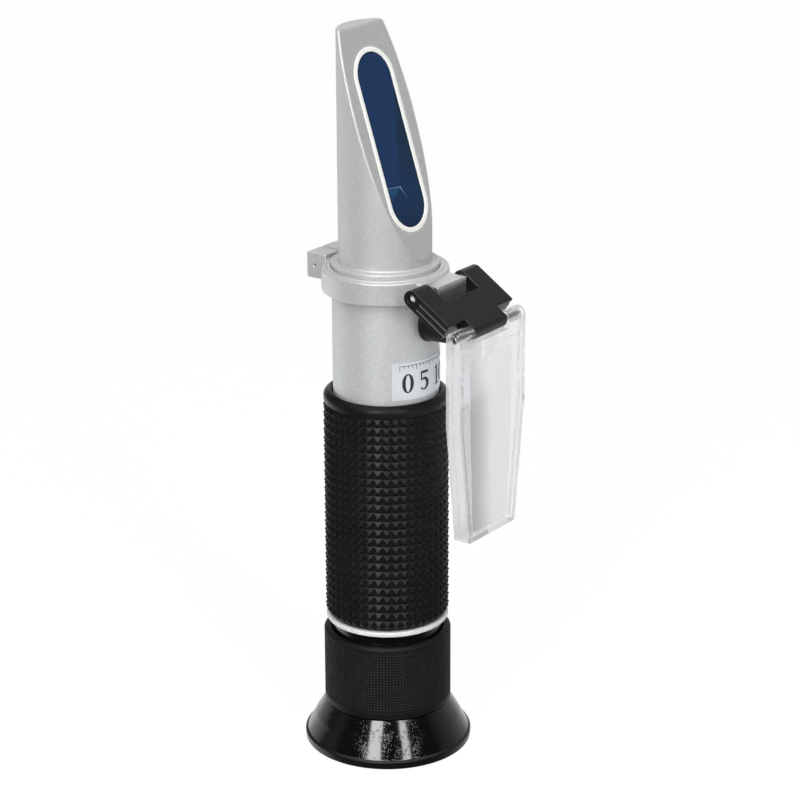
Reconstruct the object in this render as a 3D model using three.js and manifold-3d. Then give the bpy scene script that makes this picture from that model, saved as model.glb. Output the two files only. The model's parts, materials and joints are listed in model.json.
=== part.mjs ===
// Handheld refractometer with temperature compensation, standing on its eyecup.
// Millimetres, +Z up along the tube. The slanted prism face, the plate hinge and the
// calibration screw look towards -Y, the front. The origin is the centre of the bottom face
// of the bounding box. Pieces are built round the tube axis and moved back by AXIS_Y.
import * as THREE from 'three';
import { mergeVertices } from 'three/addons/utils/BufferGeometryUtils.js';
import Module from 'manifold-3d';

// ---------------------------------------------------------------- driving dimensions
// R is a radius, HALF a half width along X, Y0/Y1 and Z0/Z1 the two ends.
const AXIS_Y = 4.775;         // tube axis behind the origin

// eyepiece end
const EYECUP_R = 19.0;
const EYECUP_RIM_H = 1.7;     // height of the rim band
const EYECUP_NECK_R = 14.1;   // where the cup meets the focus ring
const EYECUP_H = 9.8;
const FOCUS_R = 14.4;
const FOCUS_Z0 = 10.1;
const FOCUS_Z1 = 27.6;
const NECK_R = 12.5;          // neck the focus ring runs on
const NECK_Z0 = 17.2;
const NECK_Z1 = 29.9;
const NECK_GROOVE = { z0: 36.0, z1: 37.4 };
const KEY_Z = 24.0;           // key screw in the side of the neck
const END_RING_R = 13.8;      // ring between neck and grip
const END_RING_Z0 = 30.2;
const END_RING_Z1 = 31.3;

// tube, grip and label
const TUBE_R = 11.72;
const TUBE_BORE_R = 10.4;
const TUBE_Z0 = 31.6;
const TUBE_Z1 = 112.4;
const GRIP_R = 14.0;
const GRIP_Z0 = TUBE_Z0;
const GRIP_Z1 = 81.9;         // end of the knurled length, start of the smooth bead
const GRIP_TOP = 84.6;
const GRIP_BORE_R = TUBE_R + 0.28;
const KNURL_DEPTH = 0.7;      // square pyramids, crest above valley
const KNURL_AROUND = 44;
const KNURL_ROWS = 25;
const LABEL_Z0 = 85.5;
const LABEL_Z1 = 94.0;
const LABEL_HALF_ANGLE = 47;  // degrees either side of the front
const LABEL_GAP = 0.05;       // inner and outer faces of the label above the tube
const LABEL_TOP = 0.2;

// clamp ring with hinge lug in front and clamp block behind
const COLLAR_R = 13.94;
const COLLAR_BORE_R = 12.02;
const COLLAR_Z0 = 107.6;
const COLLAR_Z1 = 112.7;
const COLLAR_LIP_R = 12.95;   // raised lip round the bore
const COLLAR_LIP = 0.25;
const LUG_HALF = 5.35;
const LUG_TIP_Y = -17.85;
const LUG_TOP = 112.15;
const CLAMP_BLOCK_Y = 17.5;
const CLAMP_BLOCK_Z1 = 114.1;
const CLAMP_SLIT = 0.6;
const CLAMP_SCREW = { y: 15.3, z: 111.25 };

// head
const FLANGE_R = 11.8;
const FLANGE_TOP = 114.0;
const HEAD_FOOT = FLANGE_TOP + 0.6;  // the slanted cut is made above this height
const HEAD_R = 10.2;
const HEAD_TOP = 164.95;
const HEAD_BORE_R = 8.2;
const HEAD_BORE_TOP = 159.5;
const HEAD_WALL = 2.0;
const HEAD_GROOVE = { z0: 107.4, z1: 109.0 };
const SLOPE = 0.3319;         // run of the slanted face per unit height
const SLOPE_START = { y: -10.17, z: 115.9 };  // lower vertex of the slanted face
const WINDOW_S0 = 7.2;        // window along the slanted face, from its lower vertex
const WINDOW_S1 = 45.6;
const WINDOW_HALF = 5.65;
const SEAL_W = 1.12;
const SEAL_GAP = 0.1;         // round the seal ring, in the housing
const PRISM_GAP = 0.08;       // round the prism, in the seal ring
const PRISM_DEPTH = 9;
const PRISM_BACK_Y = 5.7;

// hinge
const UPPER_PIN = { y: -15.6, z: 110.85 };
const LOWER_PIN = { y: -26.65, z: 103.7 };
const UPPER_PIN_R = 0.9;
const LOWER_PIN_R = 0.75;
const UPPER_PIN_HALF = 11.2;
const LOWER_PIN_HALF = 11.7;
const LINK_HALF = 11.9;
const LINK_GAP_HALF = 6.15;   // opening that the lug sits in
const LINK_T = 1.9;           // half thickness
const LINK_BRIDGE_U0 = 5.1;   // bridge along the link, from the upper pin
const LINK_BRIDGE_U1 = 10.5;
const TONGUE_HALF = 5.9;
const TONGUE_TIP_R = 1.35;    // thinned round the lower pin, to clear the notch of the plate
const FLUTE_U0 = 1.6;         // flutes along the link, from the upper pin
const FLUTE_U1 = 9.6;
const FLUTE_W = 0.75;         // flute centre off the middle line
const FLUTE_HALF = 0.35;
const FLUTE_DEPTH = 0.3;

// daylight plate
const PLATE_HALF_TOP = 12.2;
const PLATE_HALF_BOTTOM = 8.85;
const PLATE_Y0 = -28.55;
const PLATE_Y1 = -24.75;
const PLATE_BOTTOM = 57.0;
const PLATE_TAPER_Z = 84.5;   // the sides converge below this height
const PLATE_NOTCH_Z = 102.1;
const PLATE_EAR_IN = 6.25;
const RIM_W = 1.25;           // raised rim left round the tray in the outer face

// calibration screw; its pieces are measured forwards from the tube axis
const SCREW_Z = 102.5;
const SCREW_SLOT = 0.5;
const CAP_R = 4.4;
const CAP_BACK = 12.05;
const CAP_FRONT = 18.2;
const CAP_BORE_R = 3.45;
const CAP_BORE_END = 16.6;

// optics behind the calibration screw
const OPTICS_Y = 0.5;         // aperture and objective behind the tube axis
const SPRING = { middleZ: 97.5, halfLength: 7.0, y: 8.2, bow: 1.4, thickness: 0.3, half: 2 };

// ---------------------------------------------------------------- finishes
const finish = (color, roughness, metalness, opacity) => ({
  color,
  roughness,
  metalness,
  ...(opacity === undefined ? {} : { transparent: true, opacity }),
});
// colour, roughness, metalness, opacity where transparent
const FINISHES = {
  housing: finish(0xbabab6, 0.38, 0.75),
  prism: finish(0x26406b, 0.08, 0.0, 0.6),
  seal: finish(0xf0f2ee, 0.45, 0.0),
  oRing: finish(0x141414, 0.7, 0.0),
  clampRing: finish(0xbcbcb8, 0.38, 0.75),
  clampScrew: finish(0x8f9194, 0.3, 0.95),
  pin: finish(0xb9bbbd, 0.22, 1.0),
  link: finish(0x2a2a29, 0.45, 0.0),
  plate: finish(0xdfe8ea, 0.12, 0.0, 0.35),
  bushing: finish(0xa8a9a6, 0.35, 0.9),
  calibrationScrew: finish(0xc6a24a, 0.3, 1.0),
  cap: finish(0x161616, 0.6, 0.0),
  carriage: finish(0x3b3d40, 0.5, 0.4),
  lens: finish(0xcfe0ea, 0.05, 0.0, 0.5),
  bimetal: finish(0xb08d57, 0.35, 0.9),
  spring: finish(0xb5b7ba, 0.3, 1.0),
  tube: finish(0xc4c6c8, 0.3, 0.85),
  label: finish(0xd3d9e2, 0.35, 0.6),
  grip: finish(0x1e1e20, 0.75, 0.0),
  endRing: finish(0xd9dadb, 0.25, 0.9),
  reticleHolder: finish(0x26282a, 0.5, 0.3),
  reticle: finish(0xdfe9ee, 0.05, 0.0, 0.45),
  innerRing: finish(0x2c2e31, 0.5, 0.3),
  neck: finish(0x0f0f10, 0.15, 0.0),
  keyScrew: finish(0x9a9c9f, 0.3, 0.95),
  lensCell: finish(0x1b1c1e, 0.4, 0.3),
  focusRing: finish(0x1c1c1d, 0.55, 0.2),
  eyecup: finish(0x0d0d0e, 0.12, 0.0),
};

// ---------------------------------------------------------------- closed meshes and booleans
const WELD_DISTANCE = 1e-4;
const wasm = await Module();
wasm.setup();

function signedVolume(position, triangles) {
  const a = new THREE.Vector3();
  const b = new THREE.Vector3();
  const c = new THREE.Vector3();
  let sum = 0;
  for (const triangle of triangles) {
    [a, b, c].forEach((corner, i) => corner.fromBufferAttribute(position, triangle[i]));
    sum += a.dot(b.cross(c)) / 6;
  }
  return sum;
}

// welds a geometry into a closed mesh without collapsed triangles, facing outwards
function solid(source) {
  const bare = new THREE.BufferGeometry();
  bare.setAttribute('position', source.getAttribute('position'));
  if (source.index) bare.setIndex(source.index);
  const welded = mergeVertices(bare, WELD_DISTANCE);
  const index = welded.index.array;
  let triangles = [];
  for (let i = 0; i < index.length; i += 3) {
    const [a, b, c] = index.slice(i, i + 3);
    if (a !== b && b !== c && a !== c) triangles.push([a, b, c]);
  }
  if (signedVolume(welded.getAttribute('position'), triangles) < 0) {
    triangles = triangles.map(([a, b, c]) => [a, c, b]);
  }
  welded.setIndex(triangles.flat());
  return welded;
}

function meshOf(positions, triangles) {
  const geometry = new THREE.BufferGeometry();
  geometry.setAttribute('position', new THREE.Float32BufferAttribute(positions, 3));
  geometry.setIndex(triangles);
  return solid(geometry);
}

function toManifold(geometry) {
  return new wasm.Manifold(new wasm.Mesh({
    numProp: 3,
    vertProperties: new Float32Array(geometry.getAttribute('position').array),
    triVerts: new Uint32Array(geometry.index.array),
  }));
}

function combine(operation, first, others) {
  let result = toManifold(first);
  for (const other of others) result = result[operation](toManifold(other));
  const mesh = result.getMesh();
  return meshOf(mesh.vertProperties, Array.from(mesh.triVerts));
}
const join = (first, ...others) => combine('add', first, others);
const cut = (first, ...others) => combine('subtract', first, others);
const common = (first, ...others) => combine('intersect', first, others);

// ---------------------------------------------------------------- outlines
// profiles of turned pieces hold [radius, height] points
const rod = (radius, z0, z1) => [[0, z0], [radius, z0], [radius, z1], [0, z1]];
const sleeve = (inner, outer, z0, z1) => [[inner, z0], [outer, z0], [outer, z1], [inner, z1]];

function arc(centreX, centreY, radius, fromDegrees, toDegrees, steps) {
  const points = [];
  for (let i = 0; i <= steps; i++) {
    const angle = (fromDegrees + (toDegrees - fromDegrees) * i / steps) * Math.PI / 180;
    points.push([centreX + radius * Math.cos(angle), centreY + radius * Math.sin(angle)]);
  }
  return points;
}

// closes the -X half of an outline with its mirror image
const mirrored = (half) => [...half, ...half.map(([x, z]) => [-x, z]).reverse()];

// ---------------------------------------------------------------- basic shapes
// a closed profile turned about +Z
function turn(profile, segments = 32) {
  const points = profile.map(([radius, z]) => new THREE.Vector2(radius, z));
  const onAxis = profile[0][0] === 0 && profile[profile.length - 1][0] === 0;
  if (!onAxis) points.push(points[0].clone());
  const geometry = new THREE.LatheGeometry(points, segments);
  geometry.rotateX(Math.PI / 2);
  return solid(geometry);
}

// turned about the calibration screw axis, heights running towards -Y
function turnFront(profile, segments = 24) {
  const geometry = turn(profile, segments);
  geometry.rotateX(Math.PI / 2);
  geometry.translate(0, 0, SCREW_Z);
  return geometry;
}

// turned about a line along X through place, heights running towards +X
function turnX(profile, place) {
  const geometry = turn(profile, 16);
  geometry.rotateY(Math.PI / 2);
  geometry.translate(0, place.y, place.z);
  return geometry;
}
const rodX = (radius, half, place) => turnX(rod(radius, -half, half), place);

function block(x0, x1, y0, y1, z0, z1) {
  const geometry = new THREE.BoxGeometry(x1 - x0, y1 - y0, z1 - z0);
  geometry.translate((x0 + x1) / 2, (y0 + y1) / 2, (z0 + z1) / 2);
  return solid(geometry);
}

// matrix is the top three rows of the placing of (outline, outline, depth)
function extrude(outline, depth, ...matrix) {
  const shape = new THREE.Shape(outline.map(([x, y]) => new THREE.Vector2(x, y)));
  const geometry = new THREE.ExtrudeGeometry(shape, { depth, bevelEnabled: false });
  geometry.applyMatrix4(new THREE.Matrix4().set(...matrix, 0, 0, 0, 1));
  return solid(geometry);
}
// outline in (y, z)
const slabX = (outline, x0, x1) => extrude(outline, x1 - x0, 0, 0, 1, x0, 1, 0, 0, 0, 0, 1, 0, 0);
// outline in (x, z)
const slabY = (outline, y0, y1) => extrude(outline, y1 - y0, 1, 0, 0, 0, 0, 0, 1, y0, 0, 1, 0, 0);
// outline in (x, y)
const slabZ = (outline, z0, z1) => extrude(outline, z1 - z0, 1, 0, 0, 0, 0, 1, 0, 0, 0, 0, 1, z0);

function oRing(radius, sectionRadius, groove) {
  const ring = new THREE.TorusGeometry(radius, sectionRadius, 8, 32);
  ring.translate(0, 0, (groove.z0 + groove.z1) / 2);
  return solid(ring);
}

// ---------------------------------------------------------------- head
// slanted-face coordinates: s up along the face from its lower vertex, d inwards from the face
const SLANT_COS = 1 / Math.hypot(1, SLOPE);
const SLANT_SIN = SLOPE * SLANT_COS;
const onSlope = ([s, d]) => [
  SLOPE_START.y + s * SLANT_SIN + d * SLANT_COS,
  SLOPE_START.z + s * SLANT_COS - d * SLANT_SIN,
];

// the window outline grown by margin, from depth d0 to d1
function windowStadium(margin, d0, d1) {
  const half = WINDOW_HALF + margin;
  const outline = [
    ...arc(0, WINDOW_S1 + margin - half, half, 0, 180, 12),
    ...arc(0, WINDOW_S0 - margin + half, half, 180, 360, 12),
  ];
  const [y, z] = onSlope([0, d0]);
  return extrude(outline, d1 - d0,
    1, 0, 0, 0,
    0, SLANT_SIN, SLANT_COS, y,
    0, SLANT_COS, -SLANT_SIN, z);
}

// everything in the reach of the head behind the slanted face at the given depth
function behindSlope(depth) {
  const outline = [[-60, depth], [90, depth], [90, depth + 80], [-60, depth + 80]];
  return slabX(outline.map(onSlope), -40, 40);
}

function headHousing() {
  const { z0, z1 } = HEAD_GROOVE;
  const outside = turn([
    [0, 106.0], [9.9, 106.0], [10.1, 106.2],
    [10.1, z0], [9.2, z0], [9.2, z1], [10.1, z1],
    [10.1, 112.75], [FLANGE_R, 112.75], [FLANGE_R, FLANGE_TOP - 0.3],
    [FLANGE_R - 0.3, FLANGE_TOP], [10.6, FLANGE_TOP + 0.04],
    [10.3, FLANGE_TOP + 0.25], [HEAD_R, HEAD_FOOT],
    [HEAD_R, HEAD_TOP - 0.7], [HEAD_R - 0.7, HEAD_TOP], [0, HEAD_TOP],
  ], 48);
  const foot = block(-20, 20, -20, 20, 100, HEAD_FOOT);
  const body = common(outside, join(behindSlope(0), foot));
  const bore = turn(rod(HEAD_BORE_R, 100, HEAD_BORE_TOP), 40);
  const cavity = common(bore, behindSlope(HEAD_WALL));
  const opening = windowStadium(SEAL_W + SEAL_GAP, -2, HEAD_WALL + 0.4);
  return cut(body, cavity, opening);
}

function mainPrism() {
  // [s, d]
  const side = [
    [0, 0], [50, 0], [50, PRISM_DEPTH], [18, PRISM_DEPTH], [16.3, 7.2], [7.2, 2.4], [0, 2.0],
  ];
  return common(
    windowStadium(-PRISM_GAP, 0.02, PRISM_DEPTH),
    slabX(side.map(onSlope), -10, 10),
    block(-10, 10, -20, PRISM_BACK_Y, 100, 170));
}

const prismSealRing = () => cut(windowStadium(SEAL_W, -0.12, 1.1), windowStadium(0, -1, 3));

// ---------------------------------------------------------------- clamp ring and screw
function clampRing() {
  const ring = turn([
    [COLLAR_BORE_R, COLLAR_Z0 + 0.2], [COLLAR_BORE_R + 0.2, COLLAR_Z0],
    [COLLAR_R - 0.3, COLLAR_Z0], [COLLAR_R, COLLAR_Z0 + 0.3],
    [COLLAR_R, COLLAR_Z1 - 0.8], [COLLAR_R - 0.25, COLLAR_Z1 - 0.25],
    [COLLAR_R - 0.8, COLLAR_Z1], [COLLAR_LIP_R, COLLAR_Z1],
    [COLLAR_LIP_R - 0.1, COLLAR_Z1 + COLLAR_LIP], [COLLAR_BORE_R, COLLAR_Z1 + COLLAR_LIP],
  ], 48);
  const lug = slabX([
    [-12.6, 108.0], [-16.9, 108.0], [LUG_TIP_Y, 108.8], [LUG_TIP_Y, LUG_TOP - 0.4],
    [LUG_TIP_Y + 0.4, LUG_TOP], [-12.6, LUG_TOP],
  ], -LUG_HALF, LUG_HALF);
  const rearBlock = slabX([
    [12.6, 108.3], [16.9, 108.3], [CLAMP_BLOCK_Y, 108.9], [CLAMP_BLOCK_Y, CLAMP_BLOCK_Z1 - 0.5],
    [17.0, CLAMP_BLOCK_Z1], [12.6, CLAMP_BLOCK_Z1],
  ], -LUG_HALF, LUG_HALF);
  const bore = turn(rod(COLLAR_BORE_R, 100, 120), 48);
  const slit = block(-CLAMP_SLIT / 2, CLAMP_SLIT / 2, 8, 20, 100, 120);
  const pinHole = rodX(UPPER_PIN_R + 0.05, 10, UPPER_PIN);
  const screwHole = turnX([
    [0, -10], [0.35, -10], [0.35, -4.4], [1.05, -4.4], [1.05, 3.7], [1.9, 3.7], [1.9, 10], [0, 10],
  ], CLAMP_SCREW);
  return cut(join(ring, lug, rearBlock), bore, slit, pinHole, screwHole);
}

const clampScrew = () => turnX([
  [0, -4.2], [0.95, -4.2], [0.95, 3.8], [1.75, 3.8], [1.75, 5.0],
  [1.6, 5.15], [0.85, 5.15], [0.85, 4.3], [0, 4.3],
], CLAMP_SCREW);

// ---------------------------------------------------------------- hinge
function hingePin(radius, half, place) {
  const chamfer = 0.2;
  return turnX([
    [0, -half], [radius - chamfer, -half], [radius, -half + chamfer],
    [radius, half - chamfer], [radius - chamfer, half], [0, half],
  ], place);
}

// link coordinates: u from the upper pin towards the lower one, w across, up and forwards
const LINK_DY = LOWER_PIN.y - UPPER_PIN.y;
const LINK_DZ = LOWER_PIN.z - UPPER_PIN.z;
const LINK_L = Math.hypot(LINK_DY, LINK_DZ);
const onLink = ([u, w]) => [
  UPPER_PIN.y + (u * LINK_DY + w * LINK_DZ) / LINK_L,
  UPPER_PIN.z + (u * LINK_DZ - w * LINK_DY) / LINK_L,
];
const linkSlab = (outline, x0, x1) => slabX(outline.map(onLink), x0, x1);
const linkBlock = (u0, u1, w0, w1, x0, x1) =>
  linkSlab([[u0, w0], [u1, w0], [u1, w1], [u0, w1]], x0, x1);

function hingeLink() {
  const bar = linkSlab([
    ...arc(0, 0, LINK_T, 90, 270, 8), [LINK_BRIDGE_U1, -LINK_T], [LINK_BRIDGE_U1, LINK_T],
  ], -LINK_HALF, LINK_HALF);
  // the tip keeps the full thickness on its +w side only
  const tip = arc(0, 0, 1, -90, 90, 12).map(([along, across]) => [
    LINK_L + TONGUE_TIP_R * along,
    (across > 0 ? LINK_T : TONGUE_TIP_R) * across,
  ]);
  const tongue = linkSlab([
    ...tip, [LINK_BRIDGE_U0 + 1, LINK_T], [LINK_BRIDGE_U0 + 1, -LINK_T],
    [LINK_BRIDGE_U1 - 1, -LINK_T], [LINK_BRIDGE_U1, -TONGUE_TIP_R],
  ], -TONGUE_HALF, TONGUE_HALF);
  const opening = linkBlock(-4, LINK_BRIDGE_U0, -4, 4, -LINK_GAP_HALF, LINK_GAP_HALF);
  const upperHole = rodX(UPPER_PIN_R + 0.1, 20, UPPER_PIN);
  const lowerHole = rodX(LOWER_PIN_R + 0.05, 20, LOWER_PIN);
  // shallow lengthwise flutes in both side faces
  const flutes = [];
  const floor = LINK_HALF - FLUTE_DEPTH;
  const past = LINK_HALF + 1;
  for (const [x0, x1] of [[-past, -floor], [floor, past]]) {
    for (const w of [-FLUTE_W, FLUTE_W]) {
      flutes.push(linkBlock(FLUTE_U0, FLUTE_U1, w - FLUTE_HALF, w + FLUTE_HALF, x0, x1));
    }
  }
  return cut(join(bar, tongue), opening, upperHole, lowerHole, ...flutes);
}

// ---------------------------------------------------------------- daylight plate
// a recess in the outer (front) face that narrows downwards like the plate
function plateRecess({ halfTop, halfBottom, z0, z1, depth }) {
  const corner = 0.8;
  return slabY(mirrored([
    [-halfTop, z1], [-halfTop, PLATE_TAPER_Z],
    [-halfBottom, z0 + corner], [-halfBottom + corner, z0],
  ]), PLATE_Y0 - 1, PLATE_Y0 + depth);
}

function daylightPlate() {
  const edge = 0.5;
  const side = [
    ...arc((PLATE_Y1 + PLATE_Y0) / 2, LOWER_PIN.z, (PLATE_Y1 - PLATE_Y0) / 2, 0, 180, 12),
    [PLATE_Y0, PLATE_BOTTOM + edge], [PLATE_Y0 + edge, PLATE_BOTTOM],
    [PLATE_Y1 - edge, PLATE_BOTTOM], [PLATE_Y1, PLATE_BOTTOM + edge],
  ];
  const slab = slabX(side, -PLATE_HALF_TOP, PLATE_HALF_TOP);
  const face = slabY(mirrored([
    [-PLATE_HALF_TOP, 110], [-PLATE_HALF_TOP, PLATE_TAPER_Z + 3],
    [-PLATE_HALF_TOP + 0.08, PLATE_TAPER_Z],
    [-PLATE_HALF_BOTTOM, PLATE_BOTTOM + 1.0], [-PLATE_HALF_BOTTOM + 1.0, PLATE_BOTTOM - 0.01],
  ]), PLATE_Y0 - 1, PLATE_Y1 + 1);
  const notch = block(
    -PLATE_EAR_IN, PLATE_EAR_IN, PLATE_Y0 - 1, PLATE_Y1 + 1, PLATE_NOTCH_Z, 110);
  const tray = plateRecess({
    halfTop: PLATE_HALF_TOP - RIM_W,
    halfBottom: PLATE_HALF_BOTTOM - RIM_W,
    z0: 58.3,
    z1: 100.2,
    depth: 0.35,
  });
  // frosted panel, a second step inside the tray
  const panel = plateRecess({ halfTop: 7.7, halfBottom: 6.4, z0: 58.8, z1: 98.2, depth: 0.55 });
  const hole = rodX(LOWER_PIN_R + 0.1, 20, LOWER_PIN);
  return cut(common(slab, face), notch, tray, panel, hole);
}

// ---------------------------------------------------------------- calibration group
const screwBushing = () => turnFront([
  [1.4, 9.2], [2.5, 9.2], [2.5, 12.05], [3.2, 12.05], [3.2, 14.6], [2.9, 14.9], [1.4, 14.9],
]);

function calibrationScrew() {
  const screw = turnFront([
    [0, 4.9], [0.75, 4.9], [1.25, 5.4], [1.25, 15.2], [1.1, 15.4], [0, 15.4],
  ]);
  const slot = block(-3, 3, -16, -14.6, SCREW_Z - SCREW_SLOT / 2, SCREW_Z + SCREW_SLOT / 2);
  return cut(screw, slot);
}

const calibrationCap = () => turnFront([
  [CAP_BORE_R, CAP_BACK], [CAP_R + 0.25, CAP_BACK], [CAP_R + 0.3, CAP_BACK + 0.3],
  [CAP_R + 0.05, CAP_BACK + 0.7], [CAP_R - 0.25, CAP_FRONT - 1.0],
  [CAP_R - 0.5, CAP_FRONT - 0.4], [CAP_R - 1.1, CAP_FRONT], [0, CAP_FRONT],
  [0, CAP_BORE_END], [CAP_BORE_R, CAP_BORE_END],
], 40);

function opticsCarriage() {
  const frame = block(-6.5, 6.5, -7.0, 6.5, 99.5, 104.5);
  const aperture = turn(rod(4.3, 90, 110));
  aperture.translate(0, OPTICS_Y, 0);
  const screwSeat = turnFront(rod(1.4, 4.3, 12));
  return cut(frame, aperture, screwSeat);
}

function objectiveLens() {
  const lens = turn([
    [0, 100.6], [2.2, 100.75], [4.0, 101.3], [4.0, 102.7], [2.2, 103.25], [0, 103.4],
  ]);
  lens.translate(0, OPTICS_Y, 0);
  return lens;
}

const bimetalStrip = () => block(-2.5, 2.5, 6.7, 7.1, 84.0, 104.4);

// leaf bent to a parabola, its ends further back than its middle
function carriageSpring() {
  const steps = 10;
  const front = [];
  for (let i = 0; i <= steps; i++) {
    const t = i / steps * 2 - 1;
    front.push([SPRING.y + SPRING.bow * t * t, SPRING.middleZ + SPRING.halfLength * t]);
  }
  const back = front.map(([y, z]) => [y + SPRING.thickness, z]).reverse();
  return slabX([...front, ...back], -SPRING.half, SPRING.half);
}

// ---------------------------------------------------------------- tube, label, grip, end ring
function mirrorTube() {
  const screwHole = turnFront(rod(2.6, 8, 13));
  return cut(turn(sleeve(TUBE_BORE_R, TUBE_R, TUBE_Z0, TUBE_Z1), 48), screwHole);
}

function label() {
  const from = -90 - LABEL_HALF_ANGLE;
  const to = -90 + LABEL_HALF_ANGLE;
  return slabZ([
    ...arc(0, 0, TUBE_R + LABEL_TOP, from, to, 24),
    ...arc(0, 0, TUBE_R + LABEL_GAP, to, from, 24),
  ], LABEL_Z0, LABEL_Z1);
}

// a sleeve covered in square pyramids, with a smooth bead above them
function rubberGrip() {
  const z0 = GRIP_Z0 + 0.35;
  const rowHeight = (GRIP_Z1 - 0.05 - z0) / KNURL_ROWS;
  // [radius, z] from above the knurl, down the bore and back up to below the knurl
  const smooth = [
    [GRIP_R - 0.6, GRIP_Z1 + 0.1], [GRIP_R - 0.1, GRIP_Z1 + 0.35],
    [GRIP_R - 0.1, GRIP_TOP - 1.0], [GRIP_R - 0.4, GRIP_TOP - 0.45],
    [GRIP_R - 1.0, GRIP_TOP - 0.1], [GRIP_R - 1.8, GRIP_TOP], [GRIP_BORE_R, GRIP_TOP],
    [GRIP_BORE_R, GRIP_Z0], [GRIP_R - KNURL_DEPTH - 0.3, GRIP_Z0],
  ];
  const rings = [];
  for (let j = 0; j <= KNURL_ROWS; j++) rings.push([GRIP_R - KNURL_DEPTH, z0 + rowHeight * j]);
  rings.push(...smooth);

  const positions = [];
  const triangles = [];
  const addPoint = (radius, step, z) => {
    const angle = 2 * Math.PI * step / KNURL_AROUND;
    positions.push(radius * Math.cos(angle), radius * Math.sin(angle), z);
  };
  for (const [radius, z] of rings) {
    for (let i = 0; i < KNURL_AROUND; i++) addPoint(radius, i, z);
  }
  for (let j = 0; j < rings.length; j++) {
    const lower = j * KNURL_AROUND;
    const upper = (j + 1) % rings.length * KNURL_AROUND;
    for (let i = 0; i < KNURL_AROUND; i++) {
      const next = (i + 1) % KNURL_AROUND;
      const quad = [lower + i, lower + next, upper + next, upper + i];
      if (j < KNURL_ROWS) {
        const tip = positions.length / 3;
        addPoint(GRIP_R, i + 0.5, z0 + rowHeight * (j + 0.5));
        for (let e = 0; e < 4; e++) triangles.push(quad[e], quad[(e + 1) % 4], tip);
      } else {
        triangles.push(quad[0], quad[1], quad[2], quad[0], quad[2], quad[3]);
      }
    }
  }
  return meshOf(positions, triangles);
}

const tubeEndRing = () => turn([
  [TUBE_BORE_R, END_RING_Z0], [END_RING_R - 0.2, END_RING_Z0], [END_RING_R, END_RING_Z0 + 0.2],
  [END_RING_R, END_RING_Z1 - 0.2], [END_RING_R - 0.2, END_RING_Z1], [TUBE_BORE_R, END_RING_Z1],
], 48);

const reticleHolder = () => turn([
  [7.4, 58.0], [10.1, 58.0], [10.1, 66.0], [8.9, 66.0], [8.9, 60.0], [7.4, 60.0],
]);

// ---------------------------------------------------------------- eyepiece
function eyepieceNeck() {
  const { z0, z1 } = NECK_GROOVE;
  const neck = turn([
    [10.15, NECK_Z0], [NECK_R - 0.3, NECK_Z0], [NECK_R, NECK_Z0 + 0.3],
    [NECK_R, NECK_Z1], [10.1, NECK_Z1], [10.1, z0], [9.3, z0], [9.3, z1], [10.1, z1],
    [10.1, 43.7], [9.8, 44.0], [8.7, 44.0], [8.7, 29.0], [10.15, 29.0],
  ], 48);
  return cut(neck, turnX(rod(0.8, 9.5, 14), { y: 0, z: KEY_Z }));
}

const focusKeyScrew = () => turnX(rod(0.65, 9.1, 12.2), { y: 0, z: KEY_Z });

function lensCell() {
  const cell = turn([
    [7.6, 6.0], [9.9, 6.0], [9.9, 13.9], [12.3, 13.9], [12.3, 15.2],
    [9.9, 15.2], [9.9, 25.0], [8.75, 25.0], [8.75, 7.0], [7.6, 7.0],
  ], 48);
  const keyway = block(8.2, 10.6, -0.9, 0.9, 21.4, 26);
  return cut(cell, keyway);
}

const eyeLens = () => turn([[0, 7.3], [4.5, 7.5], [8.5, 8.3], [8.5, 9.8], [4.5, 10.5], [0, 10.8]]);
const fieldLens = () => turn([[0, 17.0], [8.5, 17.0], [8.5, 18.6], [4.5, 19.5], [0, 19.8]]);

const focusRing = () => turn([
  [10.3, 12.3], [11.9, 12.3], [11.9, FOCUS_Z0], [FOCUS_R - 0.3, FOCUS_Z0],
  [FOCUS_R, FOCUS_Z0 + 0.3], [FOCUS_R, FOCUS_Z0 + 1.0], [FOCUS_R - 0.05, FOCUS_Z0 + 1.05],
  [FOCUS_R - 0.05, FOCUS_Z1 - 1.05], [FOCUS_R, FOCUS_Z1 - 1.0], [FOCUS_R, FOCUS_Z1 - 0.5],
  [FOCUS_R - 0.5, FOCUS_Z1], [12.85, FOCUS_Z1], [12.85, 13.6], [10.3, 13.6],
], 48);

const eyecup = () => turn([
  [16.6, 0.25], [16.85, 0], [EYECUP_R - 0.3, 0], [EYECUP_R, 0.3], [EYECUP_R, EYECUP_RIM_H],
  [EYECUP_R - 0.25, EYECUP_RIM_H + 0.25], [16.2, 5.9], [EYECUP_NECK_R, EYECUP_H],
  [11.6, EYECUP_H], [11.6, 12.0], [10.4, 12.0], [10.4, 5.6], [12.2, 5.2],
], 48);

// ---------------------------------------------------------------- assembly
const part = new THREE.Group();
part.name = 'refractometer';

function add(name, geometry, finishOfPiece) {
  geometry.translate(0, AXIS_Y, 0);
  geometry.computeVertexNormals();
  const mesh = new THREE.Mesh(geometry, new THREE.MeshStandardMaterial(finishOfPiece));
  mesh.name = name;
  part.add(mesh);
}

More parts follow.
